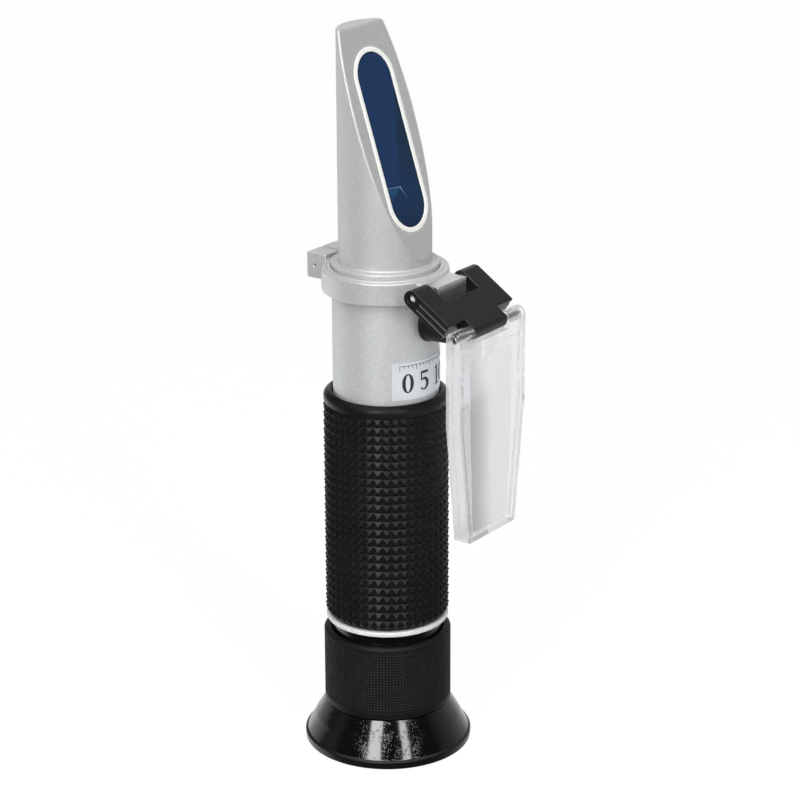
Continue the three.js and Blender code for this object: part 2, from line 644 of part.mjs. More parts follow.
add('head_housing', headHousing(), FINISHES.housing);
add('main_prism', mainPrism(), FINISHES.prism);
add('prism_seal_ring', prismSealRing(), FINISHES.seal);
add('head_o_ring', oRing(9.78, 0.48, HEAD_GROOVE), FINISHES.oRing);
add('clamp_ring', clampRing(), FINISHES.clampRing);
add('clamp_screw', clampScrew(), FINISHES.clampScrew);
add('upper_hinge_pin', hingePin(UPPER_PIN_R, UPPER_PIN_HALF, UPPER_PIN), FINISHES.pin);
add('hinge_link', hingeLink(), FINISHES.link);
add('lower_hinge_pin', hingePin(LOWER_PIN_R, LOWER_PIN_HALF, LOWER_PIN), FINISHES.pin);
add('daylight_plate', daylightPlate(), FINISHES.plate);
add('screw_bushing', screwBushing(), FINISHES.bushing);
add('calibration_screw', calibrationScrew(), FINISHES.calibrationScrew);
add('calibration_cap', calibrationCap(), FINISHES.cap);
add('optics_carriage', opticsCarriage(), FINISHES.carriage);
add('objective_lens', objectiveLens(), FINISHES.lens);
add('bimetal_strip', bimetalStrip(), FINISHES.bimetal);
add('carriage_spring', carriageSpring(), FINISHES.spring);
add('mirror_tube', mirrorTube(), FINISHES.tube);
add('label', label(), FINISHES.label);
add('rubber_grip', rubberGrip(), FINISHES.grip);
add('tube_end_ring', tubeEndRing(), FINISHES.endRing);
add('reticle_holder', reticleHolder(), FINISHES.reticleHolder);
add('reticle_disc', turn(rod(8.6, 60.3, 61.8)), FINISHES.reticle);
add('reticle_retainer', turn(sleeve(7.4, 8.6, 62.1, 63.6)), FINISHES.innerRing);
add('eyepiece_neck', eyepieceNeck(), FINISHES.neck);
add('neck_o_ring', oRing(9.83, 0.45, NECK_GROOVE), FINISHES.oRing);
add('focus_key_screw', focusKeyScrew(), FINISHES.keyScrew);
add('lens_cell', lensCell(), FINISHES.lensCell);
add('eye_lens', eyeLens(), FINISHES.lens);
add('lens_spacer', turn(sleeve(7.5, 8.5, 11.1, 16.7)), FINISHES.innerRing);
add('field_lens', fieldLens(), FINISHES.lens);
add('lens_retainer', turn(sleeve(7.4, 8.5, 20.1, 21.6)), FINISHES.innerRing);
add('focus_ring', focusRing(), FINISHES.focusRing);
add('eyecup', eyecup(), FINISHES.eyecup);

export default part;
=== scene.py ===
import json
from math import acos, atan2, cos, hypot, pi, radians, sin, sqrt, tan

import bmesh
import bpy
from mathutils import Matrix, Vector


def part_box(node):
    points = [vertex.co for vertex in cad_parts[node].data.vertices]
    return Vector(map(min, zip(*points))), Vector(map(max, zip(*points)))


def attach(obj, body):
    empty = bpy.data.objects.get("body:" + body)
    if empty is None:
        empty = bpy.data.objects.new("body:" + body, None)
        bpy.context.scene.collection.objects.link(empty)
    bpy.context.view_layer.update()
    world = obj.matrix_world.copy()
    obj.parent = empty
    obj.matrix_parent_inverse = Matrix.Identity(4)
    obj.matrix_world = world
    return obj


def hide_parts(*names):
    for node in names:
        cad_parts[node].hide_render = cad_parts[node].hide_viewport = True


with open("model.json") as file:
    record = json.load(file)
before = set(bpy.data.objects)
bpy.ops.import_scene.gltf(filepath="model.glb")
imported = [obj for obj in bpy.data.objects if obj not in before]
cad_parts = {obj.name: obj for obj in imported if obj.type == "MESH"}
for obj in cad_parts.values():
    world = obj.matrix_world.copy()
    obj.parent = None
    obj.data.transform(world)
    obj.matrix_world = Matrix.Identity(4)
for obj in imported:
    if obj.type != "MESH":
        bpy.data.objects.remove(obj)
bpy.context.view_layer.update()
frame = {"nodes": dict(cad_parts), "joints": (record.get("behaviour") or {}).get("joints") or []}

MM = 0.001
tube_low, tube_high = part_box("mirror_tube")
AXIS_Y = (tube_low.y + tube_high.y) / 2 / MM


def point(x, y, z):
    """A point given in mm about the tube axis, in frame metres."""
    return Vector((x * MM, (y + AXIS_Y) * MM, z * MM))


def span(node):
    """The low and high corners of a frame node, in mm about the tube axis."""
    return [[v.x / MM, v.y / MM - AXIS_Y, v.z / MM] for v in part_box(node)]


def joint_yz(name):
    place = next(j for j in frame["joints"] if j["name"] == name)["pos_m"]
    return place[1] / MM - AXIS_Y, place[2] / MM


# ------------------------------------------------------------------ sizes read off the frame
TUBE_R = (tube_high.x - tube_low.x) / 2 / MM
TUBE_BOTTOM, TUBE_TOP = tube_low.z / MM, tube_high.z / MM
(_, _, GRIP_BOTTOM), (GRIP_R, _, GRIP_TOP) = span("rubber_grip")
(_, _, FOCUS_BOTTOM), (FOCUS_R, _, FOCUS_TOP) = span("focus_ring")
(_, _, NECK_BOTTOM), (NECK_R, _, NECK_TOP) = span("eyepiece_neck")
(_, _, END_RING_BOTTOM), (END_RING_R, _, END_RING_TOP) = span("tube_end_ring")
(_, _, LABEL_BOTTOM), (_, _, LABEL_TOP) = span("label")
(_, PLATE_FRONT, PLATE_BOTTOM), (PLATE_HALF, PLATE_BACK, _) = span("daylight_plate")
(_, LUG_FRONT, COLLAR_BOTTOM), (COLLAR_R, BLOCK_BACK, _) = span("clamp_ring")
(_, cap_front, _), (_, cap_back, _) = span("calibration_cap")
CAP_NEAR, CAP_FAR = -cap_back, -cap_front    # distances from the axis towards the front
CUP_R = span("eyecup")[1][0]
HEAD_TOP = span("head_housing")[1][2]
LINK_HALF = span("hinge_link")[1][0]
UPPER_PIN = joint_yz("link_hinge")           # (y, z)
LOWER_PIN = joint_yz("plate_hinge")
SCREW_Z = joint_yz("calibration_turn")[1]

# ------------------------------------------------------------------ shared sizes
HEAD_R = 10.2
FLANGE_R, FLANGE_TOP = 11.84, 114.0
# The slanted face: y gained per z, and the y and z at which it starts
SLOPE, SLOPE_Y, SLOPE_Z = 0.3319, -10.17, 115.9
SLOPE_COS = 1 / hypot(1, SLOPE)
SLOPE_SIN = SLOPE * SLOPE_COS
# The window runs up the slanted face between these distances, with half-round ends
WINDOW_START, WINDOW_END, WINDOW_HALF = 7.2, 45.6, 5.65
SEAL_WIDTH = 1.12
COLLAR_TOP = 112.7
LUG_HALF = 5.35
CLAMP_SCREW = (15.3, 111.25)                 # (y, z)
LINK_THICK = 1.9                             # half the thickness of the link
LABEL_HALF_ANGLE = radians(47.0)
LABEL_R = TUBE_R + 0.16
INK_BASE, INK_FACE = -0.01, 0.03             # heights of the ink's two faces over the label


# ------------------------------------------------------------------ outlines and meshes
def round_corner(before, corner, after, radius, steps):
    """The arc that rounds a corner, or the corner itself where there is none to round."""
    here = Vector(corner)
    to_before, to_after = Vector(before) - here, Vector(after) - here
    length_before, length_after = to_before.length, to_after.length
    if min(length_before, length_after) < 1e-9:
        return [corner]
    to_before, to_after = to_before / length_before, to_after / length_after
    half = acos(max(-1, min(1, to_before.dot(to_after)))) / 2
    if half > radians(88.5) or half < 1e-3:
        return [corner]
    # the arc keeps within 0.48 of either neighbouring edge
    reach = min(radius / tan(half), 0.48 * length_before, 0.48 * length_after)
    radius = reach * tan(half)
    centre = here + (to_before + to_after).normalized() * (radius / sin(half))
    first, last = here + to_before * reach - centre, here + to_after * reach - centre
    start = atan2(first.y, first.x)
    turn = (atan2(last.y, last.x) - start + pi) % (2 * pi) - pi
    angles = [start + turn * i / steps for i in range(steps + 1)]
    return [(centre.x + radius * cos(a), centre.y + radius * sin(a)) for a in angles]


def fillet(profile, closed=True, steps=5):
    """Rounds the corners of a profile of (a, b[, radius]) points."""
    rounded, count = [], len(profile)
    for i, entry in enumerate(profile):
        a, b, radius = (*entry, 0.0)[:3]
        if radius <= 0 or (not closed and i in (0, count - 1)):
            rounded.append((a, b))
        else:
            after = profile[(i + 1) % count][:2]
            rounded += round_corner(profile[i - 1][:2], (a, b), after, radius, steps)
    return rounded


def rectangle(a0, a1, b0, b1):
    return [(a0, b0), (a1, b0), (a1, b1), (a0, b1)]


def mirrored(right):
    """A right half outline of (x, ...) points, followed by its mirror image."""
    return right + [(-x, *rest) for x, *rest in reversed(right)]


def shade(bm, angle):
    """Smooth faces, with the edges that fold by more than angle degrees kept sharp."""
    limit = radians(angle)
    for face in bm.faces:
        face.smooth = True
    for edge in bm.edges:
        edge.smooth = not (len(edge.link_faces) == 2 and edge.calc_face_angle(0.0) > limit)


def add_object(name, data):
    piece = bpy.data.objects.new(name, data)
    bpy.context.scene.collection.objects.link(piece)
    return piece


def build(name, verts, faces, angle=35.0, merge=1e-7):
    """A mesh object; points closer than merge (m) are joined, unless it is 0."""
    bm = bmesh.new()
    made = [bm.verts.new(v) for v in verts]
    for face in faces:
        bm.faces.new([made[i] for i in face])
    if merge:
        bmesh.ops.remove_doubles(bm, verts=bm.verts, dist=merge)
        bmesh.ops.dissolve_degenerate(bm, dist=1e-8, edges=bm.edges)
    bmesh.ops.recalc_face_normals(bm, faces=bm.faces)
    shade(bm, angle)
    mesh = bpy.data.meshes.new(name)
    bm.to_mesh(mesh)
    bm.free()
    return add_object(name, mesh)


def band(rings, size, closed=False):
    """Quads between successive rings of size points; closed joins the last to the first."""
    faces = []
    for ring in range(rings if closed else rings - 1):
        low, high = ring * size, (ring + 1) % rings * size
        for i in range(size):
            j = (i + 1) % size
            faces.append([low + i, low + j, high + j, high + i])
    return faces


def loft(name, rings, angle, merge=1e-7):
    """A solid through a list of rings of points, capped at both ends."""
    size = len(rings[0])
    verts = [v for ring in rings for v in ring]
    caps = [list(range(size)), list(range(len(verts) - size, len(verts)))]
    return build(name, verts, caps + band(len(rings), size), angle, merge)


def extrude(name, start, end):
    """A solid between two rings of points."""
    size = len(start)
    caps = [list(range(size)), list(range(2 * size - 1, size - 1, -1))]
    return build(name, start + end, caps + band(2, size))


def prism(name, axis, outline, start, end):
    """An outline drawn square to an axis, in (y, z), (x, z) or (x, y), from start to end on it."""
    place = {
        "x": lambda a, b, h: point(h, a, b),
        "y": lambda a, b, h: point(a, h, b),
        "z": lambda a, b, h: point(a, b, h),
    }[axis]
    return extrude(name, *([place(a, b, h) for a, b in outline] for h in (start, end)))


def lathe(name, profile, segments, place=point, angle=35.0, steps=5):
    """A closed profile of (r, h[, corner radius]) turned about its h axis.

    place maps (x, y, h) to frame metres.
    """
    verts, rings = [], []
    for r, h in fillet(profile, True, steps):
        first = len(verts)
        if r < 1e-6:
            verts.append(place(0, 0, h))
            rings.append([first] * segments)
        else:
            turns = [2 * pi * i / segments for i in range(segments)]
            verts += [place(r * cos(a), r * sin(a), h) for a in turns]
            rings.append(list(range(first, first + segments)))
    faces = []
    for lower, upper in zip(rings, rings[1:] + rings[:1]):
        for i in range(segments):
            j = (i + 1) % segments
            quad = [lower[i], lower[j], upper[j], upper[i]]
            # a quad on the axis shrinks to a triangle, or to nothing
            face = [v for k, v in enumerate(quad) if v != quad[k - 1]]
            if len(face) > 2:
                faces.append(face)
    return build(name, verts, faces, angle)


def along_x(y, z):
    return lambda a, b, h: point(h, y + a, z + b)


def along_front(z):
    return lambda a, b, h: point(a, -h, z + b)


def rod_cutter(radius, start, end, segments, place):
    profile = [(0, start), (radius, start), (radius, end), (0, end)]
    return lathe("cutter", profile, segments, place)


def bake(piece):
    """Applies an object's modifiers."""
    bpy.context.view_layer.update()
    graph = bpy.context.evaluated_depsgraph_get()
    mesh = bpy.data.meshes.new_from_object(piece.evaluated_get(graph))
    piece.modifiers.clear()
    old = piece.data
    piece.data = mesh
    bpy.data.meshes.remove(old)


def boolean(piece, others, operation="DIFFERENCE"):
    for other in others:
        modifier = piece.modifiers.new("boolean", "BOOLEAN")
        modifier.object, modifier.operation, modifier.solver = other, operation, "EXACT"
        bake(piece)
        bpy.data.objects.remove(other)
    return piece


def reshade(piece, angle, weld=False):
    bm = bmesh.new()
    bm.from_mesh(piece.data)
    if weld:
        bmesh.ops.remove_doubles(bm, verts=bm.verts, dist=1e-7)
        bmesh.ops.recalc_face_normals(bm, faces=bm.faces)
    shade(bm, angle)
    bm.to_mesh(piece.data)
    bm.free()
    return piece


def weigh_normals(piece):
    modifier = piece.modifiers.new("normals", "WEIGHTED_NORMAL")
    modifier.keep_sharp, modifier.weight = True, 50
    return piece


def soften(piece, width, segments, angle):
    """Rounded edges, as moulded or tumbled parts have."""
    bevel = piece.modifiers.new("bevel", "BEVEL")
    bevel.width, bevel.segments = width * MM, segments
    bevel.limit_method, bevel.angle_limit = "ANGLE", radians(angle)
    bevel.use_clamp_overlap = True
    bevel.miter_outer = "MITER_ARC"
    bake(piece)
    return weigh_normals(reshade(piece, 50, weld=True))


def cast(piece, voxel, rounds):
    """Melts cuts and unions into one skin with small fillets in and out, as a casting has."""
    skin = piece.modifiers.new("skin", "REMESH")
    skin.mode, skin.voxel_size = "VOXEL", voxel * MM
    relax = piece.modifiers.new("relax", "SMOOTH")
    relax.factor, relax.iterations = 0.5, rounds
    bake(piece)
    return reshade(piece, 180)


def on_slope(x, up, depth):
    """A point on the slanted face, up along it and sunk into the head by depth."""
    return point(x, SLOPE_Y + up * SLOPE_SIN + depth * SLOPE_COS,
                 SLOPE_Z + up * SLOPE_COS - depth * SLOPE_SIN)


# ------------------------------------------------------------------ node graphs
def operator(operation, swapped=False):
    def apply(self, other):
        pair = (other, self) if swapped else (self, other)
        return self.graph.math(operation, *pair)
    return apply


class Value:
    """A node's output. Arithmetic on it adds Math nodes to its graph."""

    def __init__(self, graph, socket):
        self.graph, self.socket = graph, socket

    __add__, __radd__ = operator("ADD"), operator("ADD", swapped=True)
    __sub__, __rsub__ = operator("SUBTRACT"), operator("SUBTRACT", swapped=True)
    __mul__, __truediv__ = operator("MULTIPLY"), operator("DIVIDE")

    def __abs__(self):
        return self.math("ABSOLUTE")

    def math(self, operation, *others):
        return self.graph.math(operation, self, *others)

    def clamped(self):
        self.socket.node.use_clamp = True
        return self


class Graph:
    """Shorthand for wiring a node tree."""

    spare = None    # value for the Math inputs that an operation doesn't read; None leaves them

    def __init__(self, tree):
        self.tree = tree

    def add(self, kind, **settings):
        node = self.tree.nodes.new(kind)
        for key, value in settings.items():
            setattr(node, key, value)
        return node

    def out(self, node, key=0):
        return Value(self, node.outputs[key])

    def link(self, value, socket):
        if isinstance(value, Value):
            self.tree.links.new(value.socket, socket)
        elif value is not None:
            socket.default_value = value

    def math(self, operation, *values):
        node = self.add("ShaderNodeMath", operation=operation)
        for value, socket in zip(values + (self.spare,) * 2, node.inputs):
            self.link(value, socket)
        return self.out(node)

    def vector_math(self, operation, first, second):
        node = self.add("ShaderNodeVectorMath", operation=operation)
        self.link(first, node.inputs[0])
        self.link(second, node.inputs[1])
        return self.out(node, "Value" if operation == "DOT_PRODUCT" else "Vector")

    def mix_shaders(self, factor, first, second, output):
        node = self.add("ShaderNodeMixShader")
        for value, socket in zip((factor, self.out(first), self.out(second)), node.inputs):
            self.link(value, socket)
        self.link(self.out(node), self.tree.nodes[output].inputs[0])


class Material(Graph):
    """A new material's node tree, with textures in object coordinates."""

    spare = 0.0

    def __init__(self, name):
        self.material = bpy.data.materials.new(name)
        self.material.use_nodes = True
        super().__init__(self.material.node_tree)
        self.shader = self.tree.nodes["Principled BSDF"]
        self.place = self.out(self.add("ShaderNodeTexCoord"), "Object")

    def set(self, **values):
        """Sets Principled inputs, named with underscores for spaces."""
        for key, value in values.items():
            self.link(value, self.shader.inputs[key.replace("_", " ")])

    def noise(self, scale, detail=2.0, rough=0.5, stretch=None):
        """Noise; stretch multiplies the coordinates, so small numbers draw it out."""
        place = self.place
        if stretch:
            place = self.vector_math("MULTIPLY", place, stretch)
        node = self.add("ShaderNodeTexNoise")
        node.inputs["Scale"].default_value = scale
        node.inputs["Detail"].default_value = detail
        node.inputs["Roughness"].default_value = rough
        self.link(place, node.inputs["Vector"])
        return self.out(node, "Fac")

    def flakes(self, scale):
        """Three random values for each cell of a Voronoi pattern."""
        cells = self.add("ShaderNodeTexVoronoi")
        cells.inputs["Scale"].default_value = scale
        self.link(self.place, cells.inputs["Vector"])
        split = self.add("ShaderNodeSeparateColor")
        self.link(self.out(cells, "Color"), split.inputs[0])
        return [self.out(split, i) for i in range(3)]

    def mix(self, factor, first, second):
        node = self.add("ShaderNodeMix", data_type="RGBA")
        self.link(factor, node.inputs["Factor"])
        for value, socket in ((first, node.inputs[6]), (second, node.inputs[7])):
            self.link(value if isinstance(value, Value) else (*value, 1.0), socket)
        return self.out(node, 2)

    def bump(self, height, strength, distance):
        node = self.add("ShaderNodeBump")
        node.inputs["Strength"].default_value = strength
        node.inputs["Distance"].default_value = distance
        self.link(height, node.inputs["Height"])
        self.set(Normal=self.out(node))

    def edge(self, radius):
        """1 on edges, 0 on flats, from the difference a bevelled normal makes."""
        bevel = self.add("ShaderNodeBevel", samples=4)
        bevel.inputs["Radius"].default_value = radius
        geometry = self.add("ShaderNodeNewGeometry")
        normal = self.out(geometry, "Normal")
        likeness = self.vector_math("DOT_PRODUCT", self.out(bevel), normal)
        return ((1.0 - likeness) * 6.0).clamped()


def tone(base, factor, lift=0.0):
    """A colour made lighter or darker, no channel past 1."""
    return tuple(min(1, c * factor + lift) for c in base)


# ------------------------------------------------------------------ finishes
# In each finish, the factors on a noise set how far it moves the colour mix or the roughness.
def silver(name, base, metallic, rough, grain, edges=0.0):
    """Satin lacquer with a fine metallic powder. grain scales its relief; edges is the width in
    metres of the edges painted lighter as a highlight and made smoother, as polished edges are."""
    mat = Material(name)
    fine = mat.noise(scale=5200, rough=0.7)
    red, green, blue = mat.flakes(scale=4200)
    broad = mat.noise(scale=55, detail=3, rough=0.55)
    cool = (0.97, 0.99, 1.0)
    light = tuple(min(1, c * 1.12 * k) for c, k in zip(base, cool))
    colour = mat.mix(red * 0.7 + broad * 0.3, tone(base, 0.86), light)
    roughness = rough - 0.08 + (fine + green * 0.9) * 0.09
    if edges:
        # painted highlight: the edges are lightened to near white, and also made smoother, as
        # polished edges are
        edge_lift = mat.edge(edges)
        colour = mat.mix(edge_lift, colour, (0.93, 0.935, 0.93))
        roughness = roughness - edge_lift * 0.22
    mat.set(Base_Color=colour, Metallic=metallic, Roughness=roughness)
    mat.bump(fine + blue * 0.8, strength=0.28 * grain, distance=0.00002)
    return mat.material


def rubber(name, base, rough, strength=0.35, spec=0.5, edge_lift=0.10):
    """Fine-grained rubber, dusty on its edges by the amount worn."""
    mat = Material(name)
    fine = mat.noise(scale=5200, detail=3, rough=0.65)
    broad = mat.noise(scale=140, detail=3)
    dust = mat.noise(scale=900)
    colour = mat.mix((fine + broad) * 0.5, tone(base, 0.75), tone(base, 1.5))
    colour = mat.mix(mat.edge(0.00018) * (dust * edge_lift), colour, tone(base, 4, lift=0.015))
    roughness = rough - 0.08 + broad * 0.16
    mat.set(Base_Color=colour, Roughness=roughness, Specular_IOR_Level=spec)
    mat.bump(fine, strength=strength, distance=0.00002)
    return mat.material


def gloss_black(name):
    """Black gloss with faint smears drawn out along z."""
    base = (0.003, 0.003, 0.0035)
    mat = Material(name)
    smear = mat.noise(scale=160, detail=4, rough=0.6, stretch=(1, 1, 0.35))
    speck = mat.noise(scale=2600)
    mat.set(Base_Color=mat.mix(smear, tone(base, 0.8), tone(base, 1.6)),
            Roughness=0.10 + smear * speck * 0.14, Specular_IOR_Level=0.6)
    mat.bump(smear + speck * 0.5, strength=0.10, distance=0.00004)
    return mat.material


def pitted_gloss(name):
    """Glossy black moulding whose shine is broken up by fine pits in patches."""
    base = (0.0022, 0.0022, 0.0026)
    mat = Material(name)
    smear = mat.noise(scale=210, detail=4, rough=0.65, stretch=(1, 1, 0.35))
    patch = mat.noise(scale=330, detail=3, rough=0.7)
    speck = mat.noise(scale=2500, rough=0.6)
    # pits are where specks and patches together pass 1.03, with edges sharpened 7 times
    pits = (speck + patch * 0.85 - 1.03) * 7.0
    pits = pits.math("MAXIMUM", 0.0).math("MINIMUM", 1.0)
    mat.set(Base_Color=mat.mix(smear, tone(base, 0.8), tone(base, 1.6)),
            Roughness=0.07 + (smear * 0.08 + pits * 0.12), Specular_IOR_Level=0.95)
    mat.bump(smear * 0.4 + pits, strength=0.32, distance=0.00005)
    return mat.material


def metal(name, base, rough, stretch):
    """Bare metal with a fine grain, drawn out where stretch is small."""
    mat = Material(name)
    grain = mat.noise(scale=5200, stretch=stretch)
    broad = mat.noise(scale=300, detail=3)
    mat.set(Base_Color=mat.mix(broad, tone(base, 0.86), tone(base, 1.06)), Metallic=1.0,
            Roughness=rough - 0.05 + grain * 0.12)
    mat.bump(grain, strength=0.2, distance=0.00001)
    return mat.material


def moulded(name, base, rough, spec=0.5):
    """Satin moulded plastic, lighter and smoother where hands have rubbed its edges."""
    mat = Material(name)
    grain = mat.noise(scale=4200, detail=3, rough=0.6)
    broad = mat.noise(scale=110, detail=4, rough=0.55)
    scuff = mat.noise(scale=700, detail=3, rough=0.7, stretch=(1, 1, 0.25))
    colour = mat.mix(broad, tone(base, 0.85), tone(base, 1.2))
    rubbed = mat.edge(0.00035)
    colour = mat.mix(rubbed * (scuff * 0.30), colour, tone(base, 3, lift=0.03))
    roughness = rough - 0.06 + (grain + broad) * 0.07
    mat.set(Base_Color=colour, Roughness=roughness - rubbed * 0.08, Specular_IOR_Level=spec)
    mat.bump(grain, strength=0.22, distance=0.000015)
    return mat.material


def acrylic(name, frosted=False):
    mat = Material(name)
    mat.set(Base_Color=(0.985, 0.992, 1.0, 1.0), Transmission_Weight=1.0, IOR=1.49)
    if frosted:
        grain = mat.noise(scale=3200, detail=3, rough=0.7)
        mat.set(Roughness=0.30 + grain * 0.16)
        mat.bump(grain, strength=0.9, distance=0.00005)
        mat.set(Base_Color=mat.mix(grain, (0.965, 0.962, 0.985), (1.0, 1.0, 1.0)))
    else:
        mat.set(Roughness=0.02 + mat.noise(scale=500, detail=4, rough=0.6) * 0.02)
        mat.bump(mat.noise(scale=90), strength=0.012, distance=0.0004)
    # shadow rays pass to what stands behind; clear acrylic is also partly see-through
    shadow = mat.out(mat.add("ShaderNodeLightPath"), "Is Shadow Ray")
    passing = mat.add("ShaderNodeBsdfTransparent")
    passing.inputs[0].default_value = (0.97, 0.975, 0.985, 1.0)
    least_passed = 0.0 if frosted else 0.45
    mat.mix_shaders(shadow.math("MAXIMUM", least_passed), mat.shader, passing,
                    "Material Output")
    return mat.material


def lens_glass(name):
    mat = Material(name)
    smear = mat.noise(scale=260, detail=4, rough=0.6)
    mat.set(Base_Color=(0.93, 0.97, 0.98, 1.0), Transmission_Weight=1.0, IOR=1.52,
            Roughness=smear * 0.03, Coat_Weight=0.4, Coat_Tint=(0.75, 0.8, 1.0, 1.0))
    return mat.material


def prism_navy(name):
    """The dark glass of the window, with its inner reflections painted on: two inner faces of the
    prism in painted shades meeting on a ridge, with a painted highlight chevron at its lower end."""
    mat = Material(name)
    split = mat.add("ShaderNodeSeparateXYZ")
    mat.link(mat.place, split.inputs[0])
    # mm across the window, and up the slanted face
    across = mat.out(split, 0) / MM
    up = (mat.out(split, 2) / MM - SLOPE_Z) / SLOPE_COS

    # the ridge, as (across, up) of its lower tip and its far end
    tip_x, tip_up = -1.27, 16.3
    far_x, far_up = 5.5, 37.6
    length = hypot(far_x - tip_x, far_up - tip_up)
    side = ((across - tip_x) * ((far_up - tip_up) / length)
            + (up - tip_up) * (-(far_x - tip_x) / length))
    # masks: right of the ridge, sharp and soft; above the tip; the 9 mm next to the tip
    right = (side * 2.2 + 0.5).clamped()
    right_soft = (side * 0.35 + 0.3).clamped()
    above = ((up - tip_up) * 8.0 + 0.5).clamped()
    near_tip = (1.0 - (up - tip_up) / 9.0).clamped()
    # painted shade: the two inner faces in different navy shades, the right one darker away from
    # the ridge and lighter near the tip
    left_face_shade = mat.mix(mat.noise(scale=120), (0.010, 0.031, 0.090), (0.013, 0.037, 0.104))
    right_face_shade = mat.mix(right_soft, (0.011, 0.028, 0.072), (0.011, 0.026, 0.055))
    right_face_shade = mat.mix(near_tip, right_face_shade, (0.010, 0.029, 0.076))
    upper = mat.mix(right, left_face_shade, right_face_shade)

    # below the chevron: a lighter facet at the left that fades downwards, a painted reflection;
    # painted shade, darker from 15 mm
    from_tip, over_tip = across - tip_x, up - tip_up
    facet = over_tip * 0.80 - from_tip * 0.60
    patch = (facet * 3.0 + 0.5).clamped() * (1.0 + over_tip * 0.26).clamped()
    lower = mat.mix(patch * 0.9, (0.010, 0.030, 0.078), (0.016, 0.070, 0.160))
    lower = mat.mix(((15.0 - up) * 0.10).clamped(), lower, (0.009, 0.024, 0.058))
    colour = mat.mix(above, lower, upper)

    # the chevron, a painted highlight: a line to the left of the tip and one to its right, which
    # fades out
    line_half = 0.13
    left_distance = from_tip * 0.0963 + over_tip * 0.9953
    right_distance = from_tip * 0.8797 + over_tip * 0.4755
    left_line = (1.0 - abs(left_distance) / line_half).clamped()
    left_line = left_line * from_tip.math("LESS_THAN", 0.0)
    right_line = (1.0 - abs(right_distance) / line_half).clamped()
    right_line = right_line * from_tip.math("GREATER_THAN", 0.0)
    fade = (1.0 - from_tip * 0.50).clamped()
    fade = (fade * fade).math("MAXIMUM", 0.035)
    chevron_highlight = (left_line * 0.34).math("MAXIMUM", right_line * fade)
    colour = mat.mix(chevron_highlight, colour, (0.36, 0.62, 0.78))

    # a dark line, from 0.55 mm inside the edge, where the glass meets the seal
    core = up.math("MAXIMUM", WINDOW_START + WINDOW_HALF)
    core = core.math("MINIMUM", WINDOW_END - WINDOW_HALF)
    beyond = up - core
    rim = (across * across + beyond * beyond).math("SQRT")
    seam = ((rim - (WINDOW_HALF - 0.55)) * 2.2).clamped()
    colour = mat.mix(seam * 0.75, colour, (0.004, 0.008, 0.018))
    mat.set(Base_Color=colour, Roughness=0.05, Specular_IOR_Level=0.10,
            Coat_Weight=0.12, Coat_Roughness=0.02)
    return mat.material


def seal_white(name):
    mat = Material(name)
    grain = mat.noise(scale=2600)
    broad = mat.noise(scale=180, detail=3, rough=0.6)
    mat.set(Base_Color=mat.mix(broad, (0.80, 0.80, 0.74), (0.90, 0.915, 0.90)),
            Roughness=0.38 + grain * 0.1)
    mat.bump(grain, strength=0.2, distance=0.00002)
    return mat.material


def film(name):
    mat = Material(name)
    grain = mat.noise(scale=5200)
    broad = mat.noise(scale=220, detail=3, rough=0.6)
    mat.set(Base_Color=mat.mix(broad, (0.665, 0.69, 0.73), (0.745, 0.77, 0.81)),
            Metallic=0.25, Roughness=0.34 + grain * 0.08)
    mat.bump(broad, strength=0.05, distance=0.0001)
    return mat.material


def ink(name):
    mat = Material(name)
    grain = mat.noise(scale=4000)
    mat.set(Base_Color=mat.mix(grain, (0.008, 0.008, 0.009), (0.022, 0.022, 0.024)),
            Roughness=0.35 + grain * 0.1)
    return mat.material


HEAD = silver("satin_silver_head", (0.562, 0.565, 0.557),
              metallic=0.42, rough=0.50, grain=2.4, edges=0.00045)
TUBE = silver("satin_silver_tube", (0.592, 0.597, 0.597), metallic=0.40, rough=0.46, grain=1.0)
MACHINED = silver("machined_silver", (0.66, 0.66, 0.66),
                  metallic=0.90, rough=0.30, grain=0.12, edges=0.0004)
CLAMP = silver("satin_silver_clamp", (0.62, 0.62, 0.617),
               metallic=0.50, rough=0.46, grain=1.6, edges=0.00035)
BRIGHT = silver("bright_ring_silver", (0.74, 0.74, 0.74), metallic=0.12, rough=0.50, grain=0.05)
RUBBER = rubber("grip_rubber", (0.0074, 0.0074, 0.0078), rough=0.33, spec=0.15, edge_lift=0.6)
SOFT = rubber("cap_rubber", (0.0055, 0.0055, 0.0055), rough=0.44)
NECK = gloss_black("neck_gloss_black")
CUP = pitted_gloss("cup_gloss_black")
FOCUS = moulded("focus_ring_black", (0.0096, 0.0096, 0.0100), rough=0.42, spec=0.30)
BAND = moulded("focus_band_black", (0.0072, 0.0072, 0.0076), rough=0.50, spec=0.16)
LINK = moulded("link_black", (0.0060, 0.0060, 0.0058), rough=0.36, spec=0.48)
INNER = moulded("inner_black", (0.018, 0.018, 0.019), rough=0.5)
STEEL = metal("pin_steel", (0.72, 0.72, 0.71), rough=0.22, stretch=(0.2, 1, 1))
BRASS = metal("screw_brass", (0.72, 0.52, 0.22), rough=0.28, stretch=(1, 1, 1))
CLEAR = acrylic("acrylic_clear")
FROST = acrylic("acrylic_frosted", frosted=True)
LENS = lens_glass("lens_glass_coated")
PRISM = prism_navy("prism_navy_glass")
SEAL = seal_white("seal_white_rubber")
FILM = film("label_film")
INK = ink("label_ink")
PIN_SILVER = silver("pin_satin_silver", (0.88, 0.88, 0.87), metallic=0.25, rough=0.30, grain=0.2)
CUP_RIM = rubber("cup_rim_matte", (0.0045, 0.0045, 0.0048), rough=0.36, strength=0.2, spec=0.4)


def dress(piece, material, body, slot, *nodes):
    """Gives a piece its material, moving body, and the frame nodes it replaces; slot is not used.
    """
    piece.data.materials.clear()
    piece.data.materials.append(material)
    if nodes:
        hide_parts(*nodes)
    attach(piece, body)


